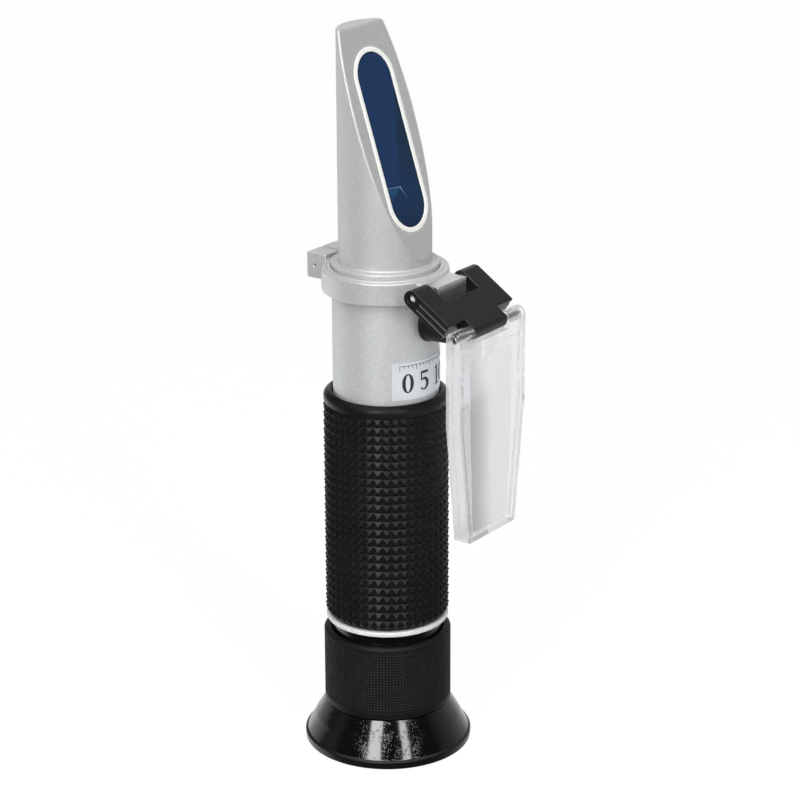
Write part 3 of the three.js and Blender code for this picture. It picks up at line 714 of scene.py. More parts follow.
def second_material(piece, material, chosen):
    """Puts a second material on the faces for which chosen(x, y, z, normal) holds, in mm."""
    piece.data.materials.append(material)
    for face in piece.data.polygons:
        x, y, z = face.center
        if chosen(x / MM, y / MM - AXIS_Y, z / MM, face.normal):
            face.material_index = 1


# ------------------------------------------------------------------ head and window
def head_section(radius, flat_y, corner, z):
    """D-shaped ring: a circle cut by the line y = flat_y, its two corners rounded.

    The circle stays whole where the line misses it.
    """
    arc_steps, corner_steps, flat_steps = 208, 8, 56
    inner = radius - corner
    centre_y = flat_y + corner
    if centre_y <= -inner:
        centre_x, flat_y, centre_y = 0.0, -radius, -inner
    else:
        centre_x = sqrt(max(0.0, inner * inner - centre_y * centre_y))
    right = atan2(centre_y, centre_x)              # direction where the right corner begins
    left = pi - right
    outline = []
    for i in range(arc_steps + 1):                 # round the back
        a = right + (left - right) * i / arc_steps
        outline.append((radius * cos(a), radius * sin(a)))
    for i in range(1, corner_steps + 1):           # left corner
        a = left + (1.5 * pi - left) * i / corner_steps
        outline.append((-centre_x + corner * cos(a), centre_y + corner * sin(a)))
    for i in range(1, flat_steps):                 # across the front
        outline.append((-centre_x + 2 * centre_x * i / flat_steps, flat_y))
    for i in range(corner_steps):                  # right corner
        a = -0.5 * pi + (right + 0.5 * pi) * i / corner_steps
        outline.append((centre_x + corner * cos(a), centre_y + corner * sin(a)))
    return [point(x, y, z) for x, y in outline]


def stadium_path(half, start, end):
    """Round the window outline: (x, up, outward x, outward up) for each point."""
    arc_steps, side_steps = 40, 10
    low, high = start + half, end - half
    path = []
    for turn, centre, other, side in ((0.0, high, low, -1.0), (pi, low, high, 1.0)):
        for i in range(arc_steps + 1):
            a = turn + pi * i / arc_steps
            path.append((half * cos(a), centre + half * sin(a), cos(a), sin(a)))
        for i in range(1, side_steps):
            path.append((side * half, centre + (other - centre) * i / side_steps, side, 0.0))
    return path


def head_piece():
    # Spigot, flange and flare are round: (radius, z[, corner radius])
    low = fillet([
        (9.9, 106.0), (10.1, 106.3), (10.1, 112.78), (FLANGE_R, 112.78, 0.1),
        (FLANGE_R, FLANGE_TOP - 0.02, 0.3), (HEAD_R, FLANGE_TOP + 0.03, 0.45),
        (HEAD_R, 115.68)], False, 7)
    no_flat = -50
    rings = [head_section(r, no_flat, 0.5, z) for r, z in low]
    side_corner, top_corner = 0.42, 0.5
    side_steps, top_steps = 96, 8
    # heights are closer together at the foot of the slanted face
    foot, top = SLOPE_Z - 0.02, HEAD_TOP - top_corner
    levels = [(0.0, foot + (top - foot) * (i / side_steps) ** 1.8)
              for i in range(side_steps + 1)]
    for i in range(1, top_steps + 1):
        a = 0.5 * pi * i / top_steps
        levels.append((top_corner * (1 - cos(a)), top + top_corner * sin(a)))
    for inset, z in levels:
        slope_y = SLOPE_Y + (z - SLOPE_Z) * SLOPE
        rings.append(head_section(HEAD_R - inset, slope_y + inset, side_corner, z))
    head = loft("head_casting", rings, 30, merge=2e-6)

    margin = SEAL_WIDTH + 0.06
    path = stadium_path(WINDOW_HALF + margin, WINDOW_START - margin, WINDOW_END + margin)
    recess = extrude("cutter", *([on_slope(p[0], p[1], depth) for p in path]
                                 for depth in (-2.0, 1.4)))
    boolean(head, [recess])
    return weigh_normals(reshade(head, 30))


def prism_piece():
    gap = 0.05
    path = stadium_path(WINDOW_HALF - gap, WINDOW_START + gap, WINDOW_END - gap)
    # (offset outwards, depth) of each ring, from the back to the chamfered face
    rings = [[on_slope(x + out_x * offset, up + out_up * offset, depth)
              for x, up, out_x, out_up in path]
             for offset, depth in ((0.0, 1.3), (0.0, 0.14), (-0.10, 0.04))]
    return loft("prism_window", rings, 30)


def seal_piece():
    # (offset outwards, depth[, corner radius])
    profile = fillet([(0.0, 1.3), (0.0, -0.10, 0.12),
                      (SEAL_WIDTH, -0.10, 0.16), (SEAL_WIDTH, 1.3)], True, 4)
    path = stadium_path(WINDOW_HALF, WINDOW_START, WINDOW_END)
    verts = [on_slope(x + out_x * offset, up + out_up * offset, depth)
             for x, up, out_x, out_up in path for offset, depth in profile]
    return build("window_seal", verts, band(len(path), len(profile), closed=True))


dress(head_piece(), HEAD, "housing", "satin_aluminium", "head_housing")
dress(prism_piece(), PRISM, "housing", "prism_glass", "main_prism")
dress(seal_piece(), SEAL, "housing", "white_seal", "prism_seal_ring")


# ------------------------------------------------------------------ clamp ring and its pins
def collar_piece():
    bore = 12.02
    # (r, z[, corner radius])
    ring = lathe("clamp_ring_casting", [
        (bore, COLLAR_BOTTOM, 0.15), (COLLAR_R, COLLAR_BOTTOM, 0.3),
        (COLLAR_R, COLLAR_TOP - 0.12, 0.2), (COLLAR_R - 0.75, COLLAR_TOP, 0.3),
        (12.92, COLLAR_TOP - 0.05, 0.08), (12.84, COLLAR_TOP + 0.24, 0.1),
        (11.92, COLLAR_TOP + 0.24, 0.06), (11.92, COLLAR_TOP - 0.2),
        (bore, COLLAR_TOP - 0.3)], 224)
    # the hinge lug at the front, flaring into the ring
    flare, flare_steps, neck_y = 0.45, 6, -(COLLAR_R + 0.9)
    plan = [(LUG_HALF, LUG_FRONT), (LUG_HALF, neck_y)]
    for i in range(1, flare_steps + 1):
        part = i / flare_steps
        plan.append((LUG_HALF + flare * part * part, neck_y + 1.7 * part))
    plan.append((LUG_HALF + flare, -12.15))
    lug = prism("lug", "z", mirrored(plan), 107.75, 112.1)
    # the split block at the back
    plan = [(LUG_HALF, BLOCK_BACK), (LUG_HALF, COLLAR_R - 0.5), (LUG_HALF, 12.3)]
    block = prism("block", "z", mirrored(plan), 108.3, 114.05)
    boolean(ring, [lug, block], "UNION")
    across_block = along_x(*CLAMP_SCREW)
    boolean(ring, [
        prism("cutter", "x", rectangle(8, 25, 100, 120), -0.3, 0.3),
        rod_cutter(0.35, -9, -4.2, 24, across_block),
        rod_cutter(1.95, 3.7, 9, 48, across_block),
        rod_cutter(0.95, -9, 9, 48, along_x(*UPPER_PIN))])
    return cast(ring, voxel=0.135, rounds=3)


def screw_piece():
    # (r, x[, corner radius])
    screw = lathe("clamp_screw_head", [
        (0, -4.1), (0.95, -4.1), (0.95, 3.85), (1.75, 3.85, 0.1), (1.75, 5.1, 0.25),
        (0, 5.1)], 64, along_x(*CLAMP_SCREW))
    y, z = CLAMP_SCREW
    slot = prism("cutter", "x", rectangle(y - 3, y + 3, z - 0.25, z + 0.25), 4.4, 6)
    return soften(boolean(screw, [slot]), width=0.06, segments=2, angle=40)


def pin_piece(name, centre, radius, half, end=0.25, turn=0.25):
    """A hinge pin along x; its ends taper by turn in radius over the length end."""
    return lathe(name, [
        (0, -half), (radius - turn, -half, 0.05), (radius, -half + end, 0.1),
        (radius, half - end, 0.1), (radius - turn, half, 0.05), (0, half)],
        48, along_x(*centre))


collar = collar_piece()
dress(collar, CLAMP, "housing", "satin_aluminium", "clamp_ring")
second_material(collar, MACHINED, lambda x, y, z, normal: (
    abs(x) < LUG_HALF + 0.3 and hypot(x, y) > COLLAR_R + 0.25 and y < 0))
dress(screw_piece(), STEEL, "housing", "steel", "clamp_screw")
dress(pin_piece("hinge_pin_top", UPPER_PIN, 0.9, 11.3, end=0.5, turn=0.36),
      PIN_SILVER, "housing", "steel", "upper_hinge_pin")
dress(pin_piece("hinge_pin_low", LOWER_PIN, 0.75, 11.6),
      STEEL, "link", "steel", "lower_hinge_pin")

# ------------------------------------------------------------------ link
link_y, link_z = LOWER_PIN[0] - UPPER_PIN[0], LOWER_PIN[1] - UPPER_PIN[1]
LINK_LENGTH = hypot(link_y, link_z)
LINK_Y, LINK_Z = link_y / LINK_LENGTH, link_z / LINK_LENGTH


def on_link(along, across):
    """(y, z) along the link from the upper pin and across it; the upper face has across < 0."""
    return (UPPER_PIN[0] + along * LINK_Y + across * LINK_Z,
            UPPER_PIN[1] + along * LINK_Z - across * LINK_Y)


def link_piece():
    ear_steps, tongue_steps = 20, 20
    turns = [radians(90 + 180 * i / ear_steps) for i in range(ear_steps + 1)]
    outline = [on_link(LINK_THICK * cos(a), LINK_THICK * sin(a)) for a in turns]
    outline += [on_link(10.5, -LINK_THICK), on_link(10.5, LINK_THICK)]
    bar = prism("link_arm", "x", outline, -LINK_HALF, LINK_HALF)

    # the tongue round the lower pin, thinner on its upper side
    tip = 1.35
    outline = []
    for i in range(tongue_steps + 1):
        a = radians(-90 + 9 * i)
        reach = LINK_THICK if i > tongue_steps / 2 else tip
        outline.append(on_link(LINK_LENGTH + tip * cos(a), reach * sin(a)))
    outline += [on_link(*corner) for corner in (
        (7.0, LINK_THICK), (7.0, -LINK_THICK), (9.5, -LINK_THICK), (10.4, -tip))]
    boolean(bar, [prism("tongue", "x", outline, -5.9, 5.9)], "UNION")

    def along_link(start, end, low, high):
        return [on_link(*corner) for corner in rectangle(start, end, low, high)]

    # the gap for the lug, the pin hole, then two flutes in each end face
    cutters = [prism("cutter", "x", along_link(-4, 4.75, -4, 4), -6.15, 6.15),
               rod_cutter(1.0, -20, 20, 40, along_x(*UPPER_PIN))]
    flute = 0.28
    for start, end in ((-LINK_HALF - 1, -LINK_HALF + flute), (LINK_HALF - flute, LINK_HALF + 1)):
        for low, high in ((-1.0, -0.42), (0.42, 1.0)):
            cutters.append(prism("cutter", "x", along_link(2.1, 11, low, high), start, end))
    boolean(bar, cutters)
    return cast(bar, voxel=0.12, rounds=4)


def mark_piece(name, x, along):
    """A faint raised arc on the lower broad face of the link."""
    arc_steps, sides, radius = 18, 6, 0.95
    verts = []
    for i in range(arc_steps + 1):
        a = radians(200 + 150 * i / arc_steps)
        for j in range(sides):
            b = 2 * pi * j / sides
            reach = radius + 0.11 * cos(b)
            across = LINK_THICK - 0.03 + 0.07 * sin(b)
            y, z = on_link(along + reach * sin(a) * 0.9, across)
            verts.append(point(x + reach * cos(a), y, z))
    caps = [list(range(sides)), list(range(arc_steps * sides, len(verts)))]
    return build(name, verts, band(arc_steps + 1, sides) + caps, 60)


dress(link_piece(), LINK, "link", "black_satin", "hinge_link")
dress(mark_piece("link_mark_a", -8.0, 6.9), LINK, "link", "black_satin")
dress(mark_piece("link_mark_b", 8.6, 7.2), LINK, "link", "black_satin")

# ------------------------------------------------------------------ daylight plate
PANEL_DEPTH = 0.5


def plate_piece():
    front, back, bottom, half = PLATE_FRONT, PLATE_BACK, PLATE_BOTTOM, PLATE_HALF
    foot_half = 8.85
    bend_z = 84.5                    # below this the sides draw in towards the foot
    middle, radius, steps = (front + back) / 2, (back - front) / 2, 24
    turns = [pi * i / steps for i in range(steps + 1)]
    side = [(middle + radius * cos(a), LOWER_PIN[1] + radius * sin(a)) for a in turns]
    side += [(front, bottom), (back, bottom)]
    plate = prism("daylight_plate_clear", "x", side, -half - 1, half + 1)
    outline = mirrored([(half, 112), (half, bend_z, 14), (foot_half, bottom, 0.9)])
    outline = fillet(outline, False, 8)
    boolean(plate, [prism("outline", "y", outline, front - 2, back + 2)], "INTERSECT")

    notch = prism("cutter", "x", rectangle(front - 2, back + 2, 102.1, 112), -6.25, 6.25)
    hole = rod_cutter(0.85, -20, 20, 40, along_x(*LOWER_PIN))
    # a tray sunk into the front face inside a raised rim
    rim = 1.3
    tray = mirrored([(half - rim, 100.2, 0.6), (half - rim, bend_z, 12),
                     (foot_half - rim + 0.15, bottom + 1.35, 0.6)])
    tray = prism("cutter", "y", fillet(tray, True, 6), front - 1, front + 0.35)
    # a second step round the frosted panel
    panel = mirrored([(7.65, 98.2, 0.25), (7.65, bend_z, 8), (6.35, bottom + 1.9, 0.25)])
    panel = prism("cutter", "y", fillet(panel, True, 5), front - 1, front + PANEL_DEPTH)
    # the back half of each long edge stands a little in from the front half
    inset, cutters = 0.28, [notch, hole, tray, panel]
    for sign in (-1, 1):
        edge = [(half - inset, 110), (half - inset, bend_z), (foot_half - inset, bottom - 1),
                (foot_half + 6, bottom - 1), (half + 6, 110)]
        edge = [(sign * x, z) for x, z in edge]
        cutters.append(prism("cutter", "y", edge, front + 1.95, back + 1))
    boolean(plate, cutters)
    return soften(plate, width=0.13, segments=3, angle=30)


plate = plate_piece()
dress(plate, CLEAR, "plate", "clear_acrylic", "daylight_plate")
second_material(plate, FROST, lambda x, y, z, normal: (
    normal.y < -0.9 and abs(y - (PLATE_FRONT + PANEL_DEPTH)) < 0.03 and abs(x) < 7.9))

# ------------------------------------------------------------------ calibration screw group
# Profiles are (r, distance from the axis towards the front[, corner radius])
dress(lathe("screw_cap", [
    (3.45, CAP_NEAR, 0.1), (4.65, CAP_NEAR, 0.12), (4.7, CAP_NEAR + 0.45, 0.15),
    (4.42, CAP_NEAR + 0.75, 0.15), (4.15, CAP_FAR - 0.9, 0.5), (3.7, CAP_FAR - 0.25, 0.5),
    (3.1, CAP_FAR, 0.5), (0, CAP_FAR - 0.12), (0, 16.7), (3.45, 16.7, 0.2)],
    96, along_front(SCREW_Z)), SOFT, "housing", "black_soft", "calibration_cap")
dress(lathe("bushing_turned", [
    (1.4, 9.2), (2.5, 9.2, 0.15), (2.5, 12.05), (3.2, 12.05, 0.1), (3.2, 14.9, 0.3),
    (1.4, 14.9, 0.1)],
    72, along_front(SCREW_Z)), CLAMP, "housing", "satin_aluminium", "screw_bushing")


def calibration_screw():
    screw = lathe("brass_screw", [
        (0, 4.9), (0.75, 4.9), (1.25, 5.4), (1.25, 15.4, 0.2), (0, 15.4)],
        64, along_front(SCREW_Z))
    slot = rectangle(-3, 3, SCREW_Z - 0.25, SCREW_Z + 0.25)
    return boolean(screw, [prism("cutter", "y", slot, -16, -14.6)])


dress(calibration_screw(), BRASS, "calibration_screw_body", "brass", "calibration_screw")

# ------------------------------------------------------------------ tube and label
BORE_R = 10.4
dress(lathe("tube_shell", [
    (BORE_R, TUBE_BOTTOM), (TUBE_R, TUBE_BOTTOM), (TUBE_R, TUBE_TOP, 0.25),
    (BORE_R, TUBE_TOP, 0.15)], 224), TUBE, "housing", "tube_silver", "mirror_tube")


def label_piece():
    """A thin sheet wrapped round the front of the tube."""
    columns, rows = 64, 6
    verts, faces = [], []
    for r in (TUBE_R + 0.02, LABEL_R):
        for j in range(rows + 1):
            for i in range(columns + 1):
                a = -LABEL_HALF_ANGLE + 2 * LABEL_HALF_ANGLE * i / columns
                z = LABEL_BOTTOM + (LABEL_TOP - LABEL_BOTTOM) * j / rows
                verts.append(point(r * sin(a), -r * cos(a), z))
    stride = columns + 1
    layer = stride * (rows + 1)
    for base in (0, layer):
        for j in range(rows):
            for i in range(columns):
                a = base + j * stride + i
                faces.append([a, a + 1, a + stride + 1, a + stride])
    for j in range(rows):
        for i in (0, columns):
            a = j * stride + i
            faces.append([a, a + stride, a + stride + layer, a + layer])
    for i in range(columns):
        for j in (0, rows):
            a = j * stride + i
            faces.append([a, a + 1, a + 1 + layer, a + layer])
    return build("scale_label", verts, faces)


# Ink shapes are (verts, faces), the verts as flat (x, z, height over the label)
def print_on_label(name, shapes, x=0.0, z=0.0):
    """Joins ink shapes, moves them by x and z and wraps them on the label."""
    verts, faces = [], []
    for shape_verts, shape_faces in shapes:
        first = len(verts)
        for a, b, height in shape_verts:
            turn, r = (x + a) / LABEL_R, LABEL_R + height
            verts.append(point(r * sin(turn), -r * cos(turn), z + b))
        faces += [[first + i for i in face] for face in shape_faces]
    return build(name, verts, faces, merge=0)


def strip(pairs, top=INK_FACE):
    """A flat strip whose two edges run through pairs of (x, z) points."""
    verts = [(x, z, height) for height in (INK_BASE, top) for pair in pairs for x, z in pair]
    layer = 2 * len(pairs)
    faces = []
    for a in range(0, layer - 2, 2):
        b = layer + a
        faces += [[a, a + 1, a + 3, a + 2], [b, b + 2, b + 3, b + 1],
                  [a, a + 2, b + 2, b], [a + 1, b + 1, b + 3, a + 3]]
    faces += [[0, layer, layer + 1, 1], [layer - 2, layer - 1, 2 * layer - 1, 2 * layer - 2]]
    return verts, faces


def bar(x0, x1, z0, z1, steps=1):
    xs = [x0 + (x1 - x0) * i / steps for i in range(steps + 1)]
    return strip([((x, z0), (x, z1)) for x in xs])


def stroke(path, lift=0.0):
    """A pen stroke along (x, z, width) points; lift keeps crossing strokes apart."""
    pairs = []
    for i, (x, z, width) in enumerate(path):
        before, after = path[max(0, i - 1)], path[min(len(path) - 1, i + 1)]
        along_x_, along_z = after[0] - before[0], after[1] - before[1]
        length = hypot(along_x_, along_z)
        dx, dz = -along_z / length * width / 2, along_x_ / length * width / 2
        pairs.append(((x + dx, z + dz), (x - dx, z - dz)))
    return strip(pairs, INK_FACE + lift)


def line(x0, z0, x1, z1, width, lift=0.0):
    steps = 8
    return stroke([(x0 + (x1 - x0) * i / steps, z0 + (z1 - z0) * i / steps, width)
                   for i in range(steps + 1)], lift)


def oval(half_x, half_z, thick, thin, steps=72):
    """A closed oval, thick at its sides and thin at top and bottom."""
    verts, faces = [], []
    for height in (INK_BASE, INK_FACE):
        for sign in (1, -1):
            for i in range(steps):
                a = 2 * pi * i / steps
                verts.append(((half_x + sign * thick / 2) * cos(a),
                              (half_z + sign * thin / 2) * sin(a), height))
    # the four rings: lower outer, lower inner, upper outer, upper inner
    inner, top, top_inner = steps, 2 * steps, 3 * steps
    for i in range(steps):
        j = (i + 1) % steps
        faces += [[i, j, inner + j, inner + i],
                  [top + i, top_inner + i, top_inner + j, top + j],
                  [i, top + i, top + j, j],
                  [inner + i, inner + j, top_inner + j, top_inner + i]]
    return verts, faces


def five_bowl():
    """The round of the 5, swelling to its boldest part way round."""
    path = []
    for i in range(33):
        a = radians(128 - 275 * i / 32)
        width = 0.30 + 0.52 * max(0.0, sin(pi * min(1.0, i / 27))) ** 1.4
        path.append((-0.22 + 1.06 * cos(a), -0.80 + 1.24 * sin(a), width))
    return stroke(path)


DIGIT_HEIGHT = 4.4
DIGITS = {    # ink shapes about each digit's middle
    "0": [oval(0.98, 2.06, thick=0.80, thin=0.28)],
    "1": [line(0.1, -2.2, 0.1, 2.2, 0.78), line(-0.75, 1.55, 0.2, 2.02, 0.30, lift=0.002),
          line(-0.75, -2.07, 0.95, -2.07, 0.26, lift=0.004)],
    "5": [five_bowl(), line(-0.98, 2.2, -0.93, 0.1, 0.34, lift=0.002),
          line(-1.12, 1.93, 1.05, 1.93, 0.56, lift=0.004)],
}


def scale_marks():
    """Ticks hanging on a line near the top of the label, every fourth one longer."""
    pitch, ticks_each_way, half = 1.0, 8, 0.06
    line_z = LABEL_TOP - 0.7
    shapes = []
    for i in range(-ticks_each_way, ticks_each_way + 1):
        height = 1.0 if i % 4 == 0 else 0.6
        shapes.append(bar(i * pitch - half, i * pitch + half, line_z - height, line_z))
    end = ticks_each_way * pitch + half
    shapes.append(bar(-end, end, line_z - half, line_z + half, steps=40))
    return print_on_label("scale_ticks", shapes)


dress(label_piece(), FILM, "housing", "label_film", "label")
dress(scale_marks(), INK, "housing", "black_inner")
for digit, x, tag in (("0", -6.1, "a"), ("5", -1.7, "b"), ("1", 2.9, "c"), ("0", 5.5, "d")):
    number = print_on_label("scale_number_" + tag, DIGITS[digit],
                            x, LABEL_BOTTOM + 1.55 + DIGIT_HEIGHT / 2)
    dress(number, INK, "housing", "black_inner")


# ------------------------------------------------------------------ grip and end ring
def knurled(name, radius, depth, z0, z1, around, rows, flat, lower, upper, bore):
    """A sleeve whose outside is a field of square pyramids between z0 and z1.

    flat is the part of a pyramid's width left flat on its crest. lower and upper are the
    smooth outer profiles below and above, as (r, z) going up; bore goes down.
    """
    valley = radius - depth
    crest = (0.5 - flat / 2, 0.5 + flat / 2)
    columns = [cell + shift for cell in range(around) for shift in (0, *crest)]
    cell_width, cell_height = 2 * pi / around, (z1 - z0) / rows
    # rings as (z, radius on valley columns, radius on crest columns)
    rings = [(z, r, r) for r, z in lower]
    for row in range(rows):
        rings.append((z0 + cell_height * row, valley, valley))
        rings += [(z0 + cell_height * (row + shift), valley, radius) for shift in crest]
    rings.append((z1, valley, valley))
    rings += [(z, r, r) for r, z in upper + bore]
    verts, high = [], []
    for z, valley_r, crest_r in rings:
        for i, column in enumerate(columns):
            a = column * cell_width
            r = crest_r if i % 3 else valley_r
            verts.append(point(r * cos(a), r * sin(a), z))
            high.append(r > valley + 0.01)
    faces = []
    for quad in band(len(rings), len(columns), closed=True):
        raised = [i for i in range(4) if high[quad[i]]]
        if len(raised) == 1:
            # the fold of a pyramid runs from its crest to the corner of the cell
            a, b, c, d = quad[raised[0]:] + quad[:raised[0]]
            faces += [[a, b, c], [a, c, d]]
        else:
            faces.append(quad)
    return build(name, verts, faces, 12)


def grip_piece():
    depth = 0.68
    knurl_top = GRIP_TOP - 2.7
    bead = fillet([
        (GRIP_R - 0.62, knurl_top), (GRIP_R - 0.62, knurl_top + 0.12),
        (GRIP_R - 0.1, knurl_top + 0.25, 0.3), (GRIP_R - 0.05, GRIP_TOP - 0.9, 1.2),
        (GRIP_R - 1.3, GRIP_TOP, 0.9), (12.4, GRIP_TOP)], False, 9)
    return knurled(
        "grip_sleeve", GRIP_R, depth, GRIP_BOTTOM + 0.35, knurl_top - 0.05,
        around=44, rows=25, flat=0.06,
        lower=[(GRIP_R - 1.1, GRIP_BOTTOM), (GRIP_R - depth, GRIP_BOTTOM + 0.12)],
        upper=bead, bore=[(12.0, GRIP_TOP - 0.25), (12.0, GRIP_BOTTOM + 0.2)])


dress(grip_piece(), RUBBER, "housing", "black_rubber", "rubber_grip")
dress(lathe("end_ring_bright", [
    (BORE_R, END_RING_BOTTOM), (END_RING_R, END_RING_BOTTOM, 0.3),
    (END_RING_R, END_RING_TOP, 0.3), (BORE_R, END_RING_TOP)], 200),
    BRIGHT, "housing", "bright_metal", "tube_end_ring")

# ------------------------------------------------------------------ eyepiece
dress(lathe("neck_turned", [
    (10.15, NECK_BOTTOM, 0.1), (NECK_R, NECK_BOTTOM, 0.3), (NECK_R, 29.9, 0.15),
    (10.1, 29.9), (10.1, NECK_TOP, 0.3), (8.7, NECK_TOP), (8.7, 29.0), (10.15, 29.0)], 200),
    NECK, "housing", "black_gloss", "eyepiece_neck")


def focus_piece():
    outer, groove = FOCUS_R - 0.02, FOCUS_R - 0.33
    bottom, top = FOCUS_BOTTOM, FOCUS_TOP
    return knurled(
        "focus_ring_knurled", FOCUS_R - 0.03, 0.30, bottom + 1.75, top - 0.98,
        around=124, rows=22, flat=0.34,
        lower=fillet([(11.9, bottom), (outer, bottom, 0.10), (outer, bottom + 1.6, 0.1),
                      (groove, bottom + 1.68)], False, 4),
        upper=fillet([(groove, top - 0.92), (outer, top - 0.84, 0.05), (outer, top - 0.6, 0.12),
                      (FOCUS_R - 0.6, top, 0.15), (12.85, top, 0.1)], False, 4),
        bore=[(12.85, 13.6), (10.3, 13.6), (10.3, 12.3), (11.9, 12.3)])


focus = focus_piece()
dress(focus, FOCUS, "focus", "black_satin", "focus_ring")
second_material(focus, BAND, lambda x, y, z, normal: (
    z < FOCUS_BOTTOM + 1.7 or z > FOCUS_TOP - 0.93))

cup = lathe("eyecup_flared", [
    (16.4, 0.3, 0.3), (16.9, 0.0, 0.2), (CUP_R - 0.12, 0.0, 0.3), (CUP_R, 1.75, 0.28),
    (CUP_R - 0.55, 2.05, 0.3), (16.45, 5.9, 3), (14.12, 9.75, 0.12), (11.6, 9.8),
    (11.6, 12.0), (10.4, 12.0), (10.4, 5.6, 0.4), (12.2, 5.0, 0.8)], 224, steps=6)
dress(cup, CUP, "focus", "black_gloss", "eyecup")
second_material(cup, CUP_RIM, lambda x, y, z, normal: z < 1.95 and hypot(x, y) > 16.3)

lens_profile = fillet([
    (0, 7.32), (3.0, 7.42), (5.8, 7.72), (8.0, 8.2), (8.5, 8.4, 0.1), (8.5, 9.7, 0.1),
    (6.0, 10.2), (3.0, 10.65), (0, 10.8)], False)
dress(lathe("eye_lens_polished", lens_profile, 128, angle=25),
      LENS, "lens_group", "optical_glass", "eye_lens")

# ------------------------------------------------------------------ frame nodes that stay
for material, nodes in (
        (SOFT, ("head_o_ring", "neck_o_ring")),
        (INNER, ("optics_carriage", "reticle_holder", "reticle_retainer", "lens_cell",
                 "lens_spacer", "lens_retainer")),
        (LENS, ("objective_lens", "reticle_disc", "field_lens")),
        (BRASS, ("bimetal_strip",)),
        (STEEL, ("carriage_spring", "focus_key_screw"))):
    for node in nodes:
        materials = frame["nodes"][node].data.materials
        materials.clear()
        materials.append(material)

# ------------------------------------------------------------------ view directions
VIEW_AZIMUTH, VIEW_ELEVATION = radians(53.1), radians(19.97)
TO_CAMERA = Vector((-sin(VIEW_AZIMUTH) * cos(VIEW_ELEVATION),
                    -cos(VIEW_AZIMUTH) * cos(VIEW_ELEVATION), sin(VIEW_ELEVATION)))
VIEW_RIGHT = Vector((cos(VIEW_AZIMUTH), -sin(VIEW_AZIMUTH), 0))
VIEW_UP = TO_CAMERA.cross(VIEW_RIGHT).normalized()
VIEW_FRONT = Vector((TO_CAMERA.x, TO_CAMERA.y, 0)).normalized()
scene = bpy.context.scene


def toward(azimuth, elevation):
    """The direction azimuth degrees right of the camera and elevation degrees up."""
    azimuth, elevation = radians(azimuth), radians(elevation)
    level = VIEW_FRONT * cos(azimuth) + VIEW_RIGHT * sin(azimuth)
    return level * cos(elevation) + Vector((0, 0, sin(elevation)))


# ------------------------------------------------------------------ floor
def floor_pale():
    """White to the eye with a faint shadow, and light grey behind clear parts."""
    mat = Material("floor_pale")
    colour = mat.mix(mat.noise(scale=2.0), (0.70, 0.70, 0.70), (0.71, 0.71, 0.71))
    mat.set(Base_Color=colour, Roughness=0.9, Specular_IOR_Level=0.0)
    rays = mat.add("ShaderNodeLightPath")
    camera = mat.out(rays, "Is Camera Ray")
    glow = mat.add("ShaderNodeEmission")
    mat.link(0.88 + camera * 0.15, glow.inputs["Strength"])
    glowing = (camera * 0.92 + mat.out(rays, "Is Transmission Ray")).clamped()
    mat.mix_shaders(glowing, mat.shader, glow, "Material Output")
    return mat.material


def add_floor():
    bm = bmesh.new()
    bmesh.ops.create_grid(bm, x_segments=1, y_segments=1, size=6.0)
    mesh = bpy.data.meshes.new("floor")
    bm.to_mesh(mesh)
    bm.free()
    floor = add_object("floor", mesh)
    floor.location = (0, 0, -0.00002)
    floor.data.materials.append(floor_pale())
    floor.visible_glossy = False    # glossy parts show no mirror image of it


add_floor()


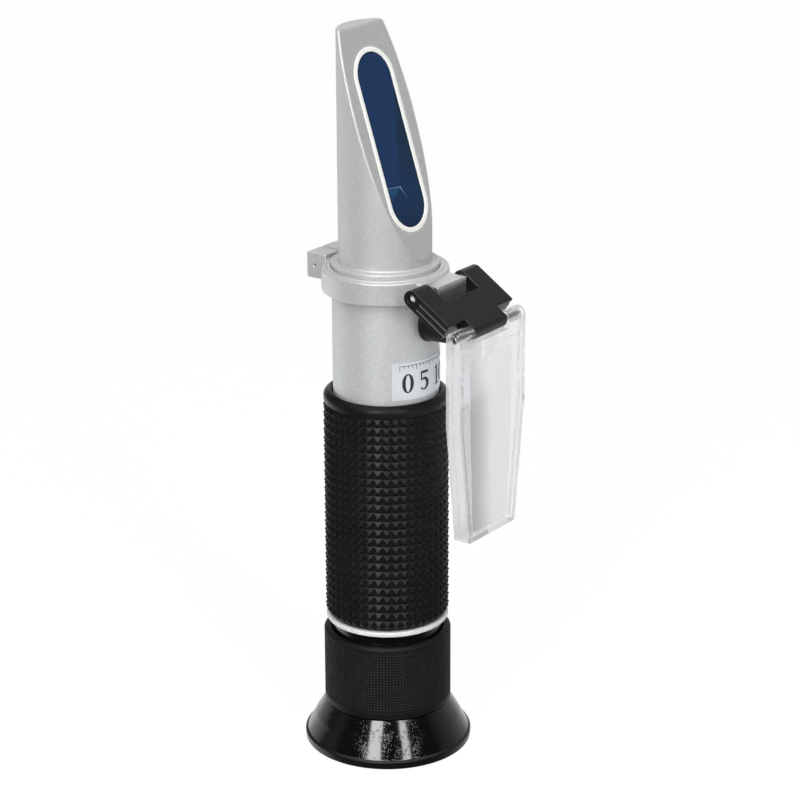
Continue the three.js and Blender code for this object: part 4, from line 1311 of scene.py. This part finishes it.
# ------------------------------------------------------------------ world
def add_world():
    """Bright behind the object and dark on the camera's side, with glows left and above."""
    world = bpy.data.worlds.new("studio")
    scene.world = world
    world.use_nodes = True
    sky = Graph(world.node_tree)
    background = sky.tree.nodes["Background"]
    direction = sky.out(sky.add("ShaderNodeTexCoord"), "Generated")

    def facing(way):
        return sky.vector_math("DOT_PRODUCT", direction, way)

    def spot(way, rim, core, outside, inside):
        """Goes from outside to inside as the cosine to way goes from rim to core."""
        node = sky.add("ShaderNodeMapRange", interpolation_type="SMOOTHSTEP")
        values = (facing(way), rim, core, outside, inside)
        for i, value in enumerate(values):
            sky.link(value, node.inputs[i])
        return sky.out(node)

    def grey_ramp(way, factor, stops):
        """Greys at (position, grey) stops, by the cosine to way times factor plus 0.5."""
        node = sky.add("ShaderNodeValToRGB")
        elements = node.color_ramp.elements
        while len(elements) < len(stops):
            elements.new(0.5)
        for element, (position, grey) in zip(elements, stops):
            element.position, element.color = position, (grey, grey, grey, 1)
        sky.link(facing(way).math("MULTIPLY_ADD", factor, 0.5), node.inputs[0])
        return sky.out(node)

    around = grey_ramp(VIEW_FRONT, -0.5, (
        (0.0, 0.012), (0.38, 0.03), (0.60, 0.40), (0.76, 0.82), (1.0, 1.0)))
    height = grey_ramp((0, 0, 1), 0.5, (
        (0.0, 1.0), (0.50, 0.95), (0.62, 0.90), (0.68, 1.0), (0.76, 0.75), (0.84, 0.45)))
    glow_left = spot(toward(-122, -24), rim=0.78, core=0.97, outside=0.0, inside=0.74)
    glow_above = spot((0, 0, 1), rim=0.72, core=0.97, outside=0.0, inside=1.1)
    glows = glow_left + glow_above
    around = around * height
    # dimmed patches behind the object to the left and right
    for azimuth, dimmed in ((-126, 0.15), (126, 0.55)):
        way = toward(azimuth, 24)
        around = around * spot(way, rim=0.70, core=0.94, outside=1.0, inside=dimmed)
    sky.link(around + glows, background.inputs[1])
    background.inputs[0].default_value = (0.985, 0.995, 1.0, 1.0)
    # the camera sees plain white past the end of the floor
    plain = sky.add("ShaderNodeBackground")
    plain.inputs[0].default_value = (1.0, 1.0, 1.0, 1.0)
    camera = sky.out(sky.add("ShaderNodeLightPath"), "Is Camera Ray")
    sky.mix_shaders(camera, background, plain, "World Output")


add_world()


# ------------------------------------------------------------------ lights and camera
def add_soft_box(name, azimuth, elevation, distance, width, height, power):
    """A soft box facing the object; lengths in metres, power in watts."""
    light = bpy.data.lights.new(name, "AREA")
    light.shape, light.size, light.size_y, light.energy = "RECTANGLE", width, height, power
    box = add_object(name, light)
    way = toward(azimuth, elevation)
    box.location = point(0, 0, 70) + way * distance
    box.rotation_mode = "QUATERNION"
    box.rotation_quaternion = way.to_track_quat("Z", "Y")


add_soft_box("soft_left", azimuth=-21, elevation=36, distance=1.1,
             width=0.34, height=1.35, power=11.0)
add_soft_box("soft_right", azimuth=27, elevation=36, distance=1.1,
             width=0.20, height=1.35, power=5.5)


def add_camera():
    distance, aim_height, roll = 591.02961, 81.56, -0.0062    # mm, mm, radians
    camera = bpy.data.cameras.new("camera")
    holder = add_object("camera", camera)
    camera.sensor_width = 36.0
    camera.lens = 120.375
    camera.shift_x = 0.0173125
    camera.clip_start, camera.clip_end = 0.02, 50
    right = VIEW_RIGHT * cos(roll) + VIEW_UP * sin(roll)
    up = VIEW_UP * cos(roll) - VIEW_RIGHT * sin(roll)
    place = point(0, 0, aim_height) + TO_CAMERA * (distance * MM)
    axes = zip(right, up, TO_CAMERA, place)
    holder.matrix_world = Matrix((*axes, (0, 0, 0, 1)))
    scene.camera = holder


add_camera()
scene.view_settings.view_transform = "Standard"
scene.view_settings.look = "None"
